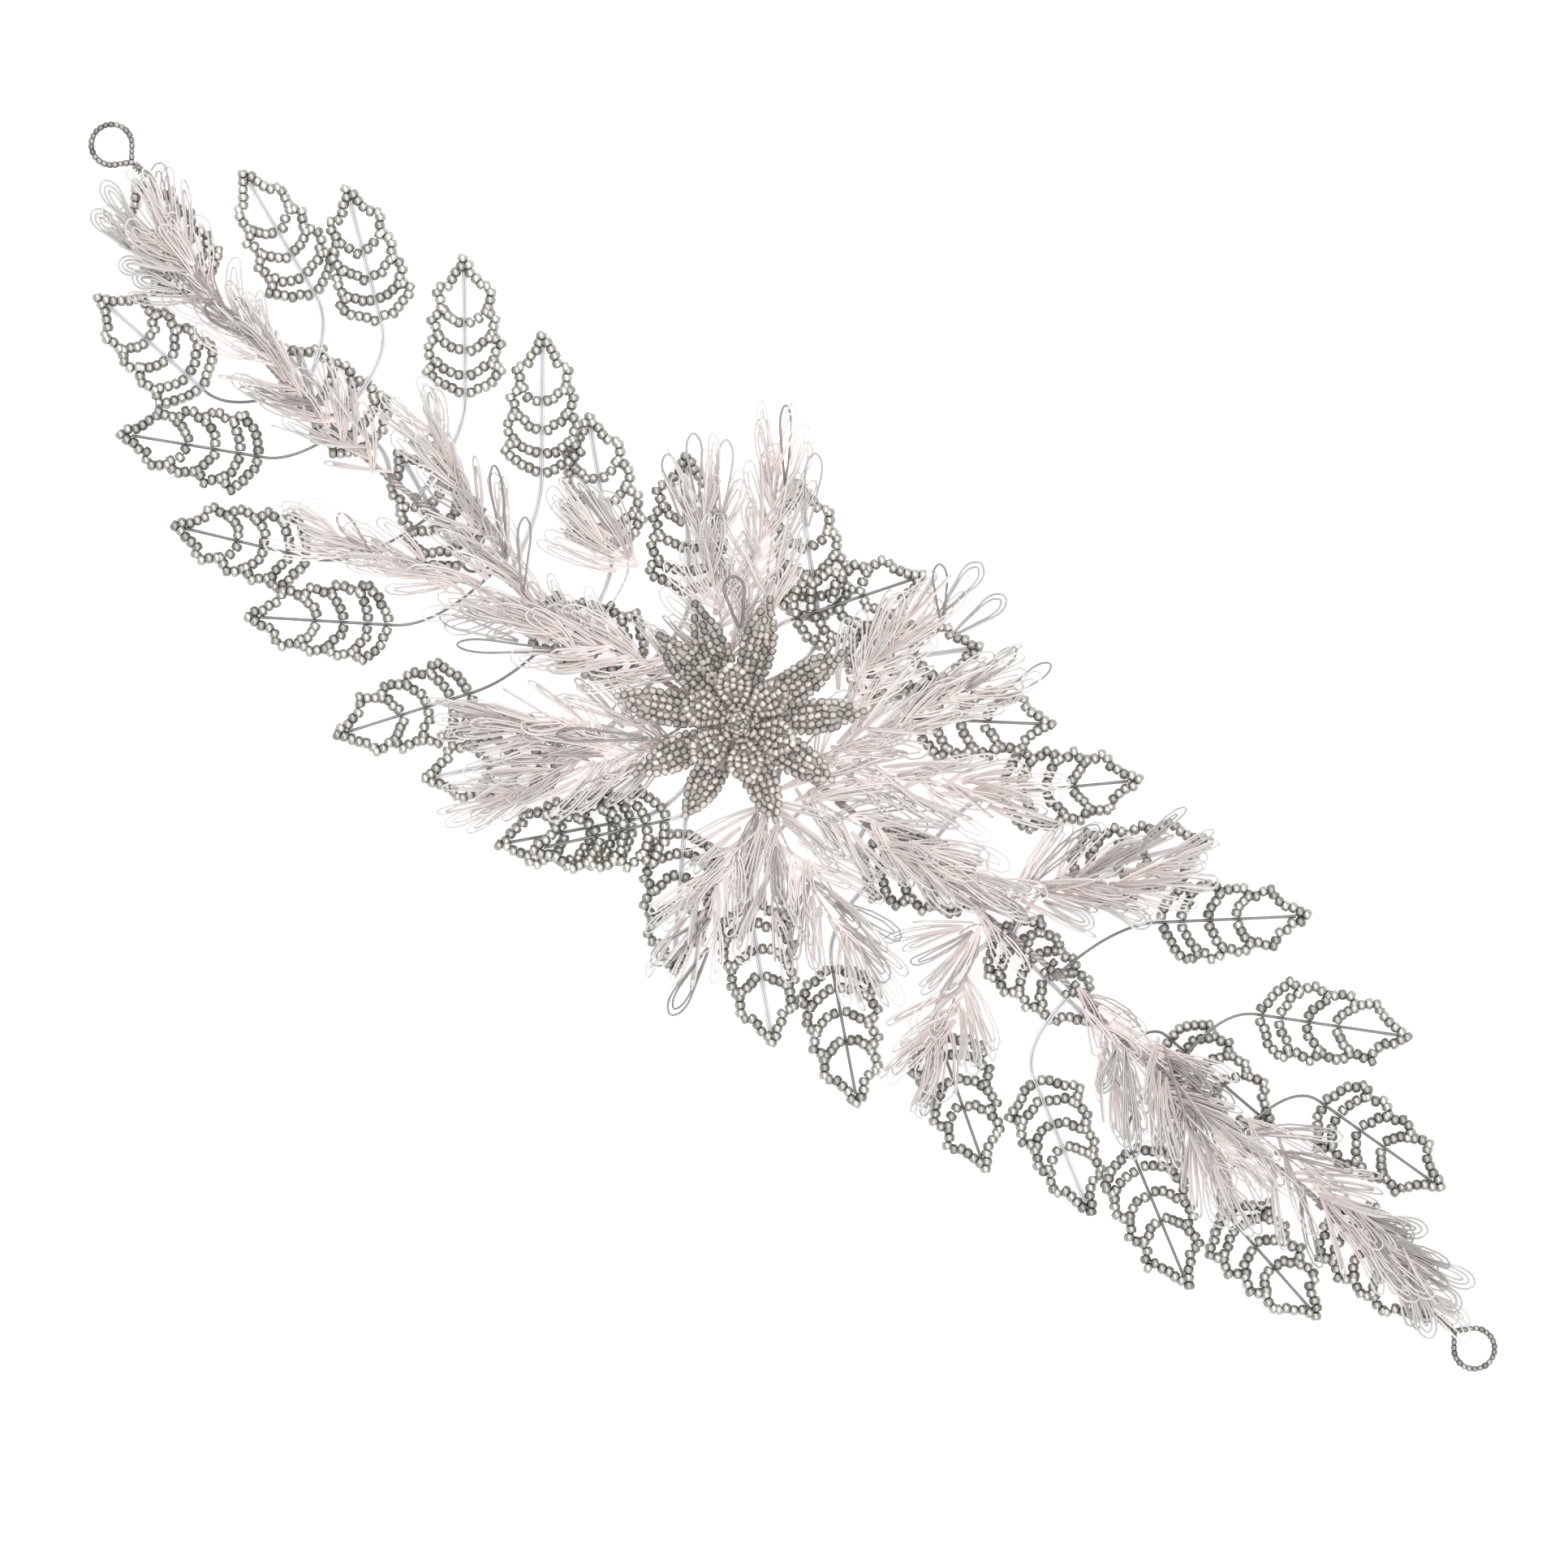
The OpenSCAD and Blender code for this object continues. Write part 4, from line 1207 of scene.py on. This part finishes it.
class HAIRVINE_OT_stage(bpy.types.Operator):
    """Set the white table, the soft lights and the camera straight above"""
    bl_idname = "hairvine.stage"
    bl_label = "Set Stage"

    def execute(self, context):
        scene, colours = context.scene, context.scene.hair_vine_colours
        bpy.ops.object.select_all(action="DESELECT")
        bpy.ops.mesh.primitive_plane_add(size=6.0, location=(0, 0, 0))
        table = context.object
        table.name = "table"
        table.data.materials.append(table_finish(colours.table))

        world = bpy.data.worlds.new("room")
        scene.world = world
        world.use_nodes = True
        world.node_tree.nodes.clear()
        b = Bench(world.node_tree)
        glow = b.node("ShaderNodeBackground", {}, {"Color": (1.0, 1.0, 1.0, 1.0), "Strength": GLOW})
        b.node("ShaderNodeOutputWorld", {}, {"Surface": glow})

        for name, place, size, power in LIGHTS:
            data = bpy.data.lights.new(name, "AREA")
            data.shape = "DISK"
            data.size = size
            data.energy = power
            light = bpy.data.objects.new(name, data)
            light.location = place
            light.rotation_euler = (-Vector(place)).to_track_quat("-Z", "Y").to_euler()
            scene.collection.objects.link(light)

        data = bpy.data.cameras.new("camera")
        camera = bpy.data.objects.new("camera", data)
        scene.collection.objects.link(camera)
        data.sensor_width = SENSOR_W
        data.lens = SENSOR_W * CAMERA_H / VIEW_W
        data.clip_start = 0.05
        camera.location = (*CAMERA_AT, CAMERA_H + STEM_Z * MM)
        camera.rotation_euler = (0.0, 0.0, math.radians(CAMERA_TURN))
        scene.camera = camera
        scene.view_settings.view_transform = "Standard"
        scene.view_settings.look = "None"
        scene.view_settings.exposure = 0.0
        return {"FINISHED"}


STEPS = (
    HAIRVINE_OT_stage, HAIRVINE_OT_stem, HAIRVINE_OT_end_loops, HAIRVINE_OT_leaves,
    HAIRVINE_OT_sprays, HAIRVINE_OT_flower,
)


class HAIRVINE_PT_panel(bpy.types.Panel):
    """The steps, sizes and colours of the hair vine"""
    bl_idname = "HAIRVINE_PT_panel"
    bl_label = "Hair Vine"
    bl_space_type = "VIEW_3D"
    bl_region_type = "UI"
    bl_category = "Hair Vine"

    def draw(self, context):
        layout = self.layout
        for step in STEPS:
            layout.operator(step.bl_idname)
        for group in wanted(context):
            box = layout.box()
            for key in group.bl_rna.properties.keys():
                if key not in ("rna_type", "name"):
                    box.prop(group, key)


CLASSES = (HairVineSizes, HairVineColours) + STEPS + (HAIRVINE_PT_panel,)


def register():
    for cls in CLASSES:
        bpy.utils.register_class(cls)
    bpy.types.Scene.hair_vine_sizes = bpy.props.PointerProperty(type=HairVineSizes)
    bpy.types.Scene.hair_vine_colours = bpy.props.PointerProperty(type=HairVineColours)


def unregister():
    del bpy.types.Scene.hair_vine_colours
    del bpy.types.Scene.hair_vine_sizes
    for cls in reversed(CLASSES):
        bpy.utils.unregister_class(cls)


def main():
    register()
    bpy.ops.hairvine.stage()
    bpy.ops.hairvine.stem()
    bpy.ops.hairvine.end_loops()
    bpy.ops.hairvine.leaves()
    bpy.ops.hairvine.sprays()
    bpy.ops.hairvine.flower()


if __name__ == "__main__":
    main()
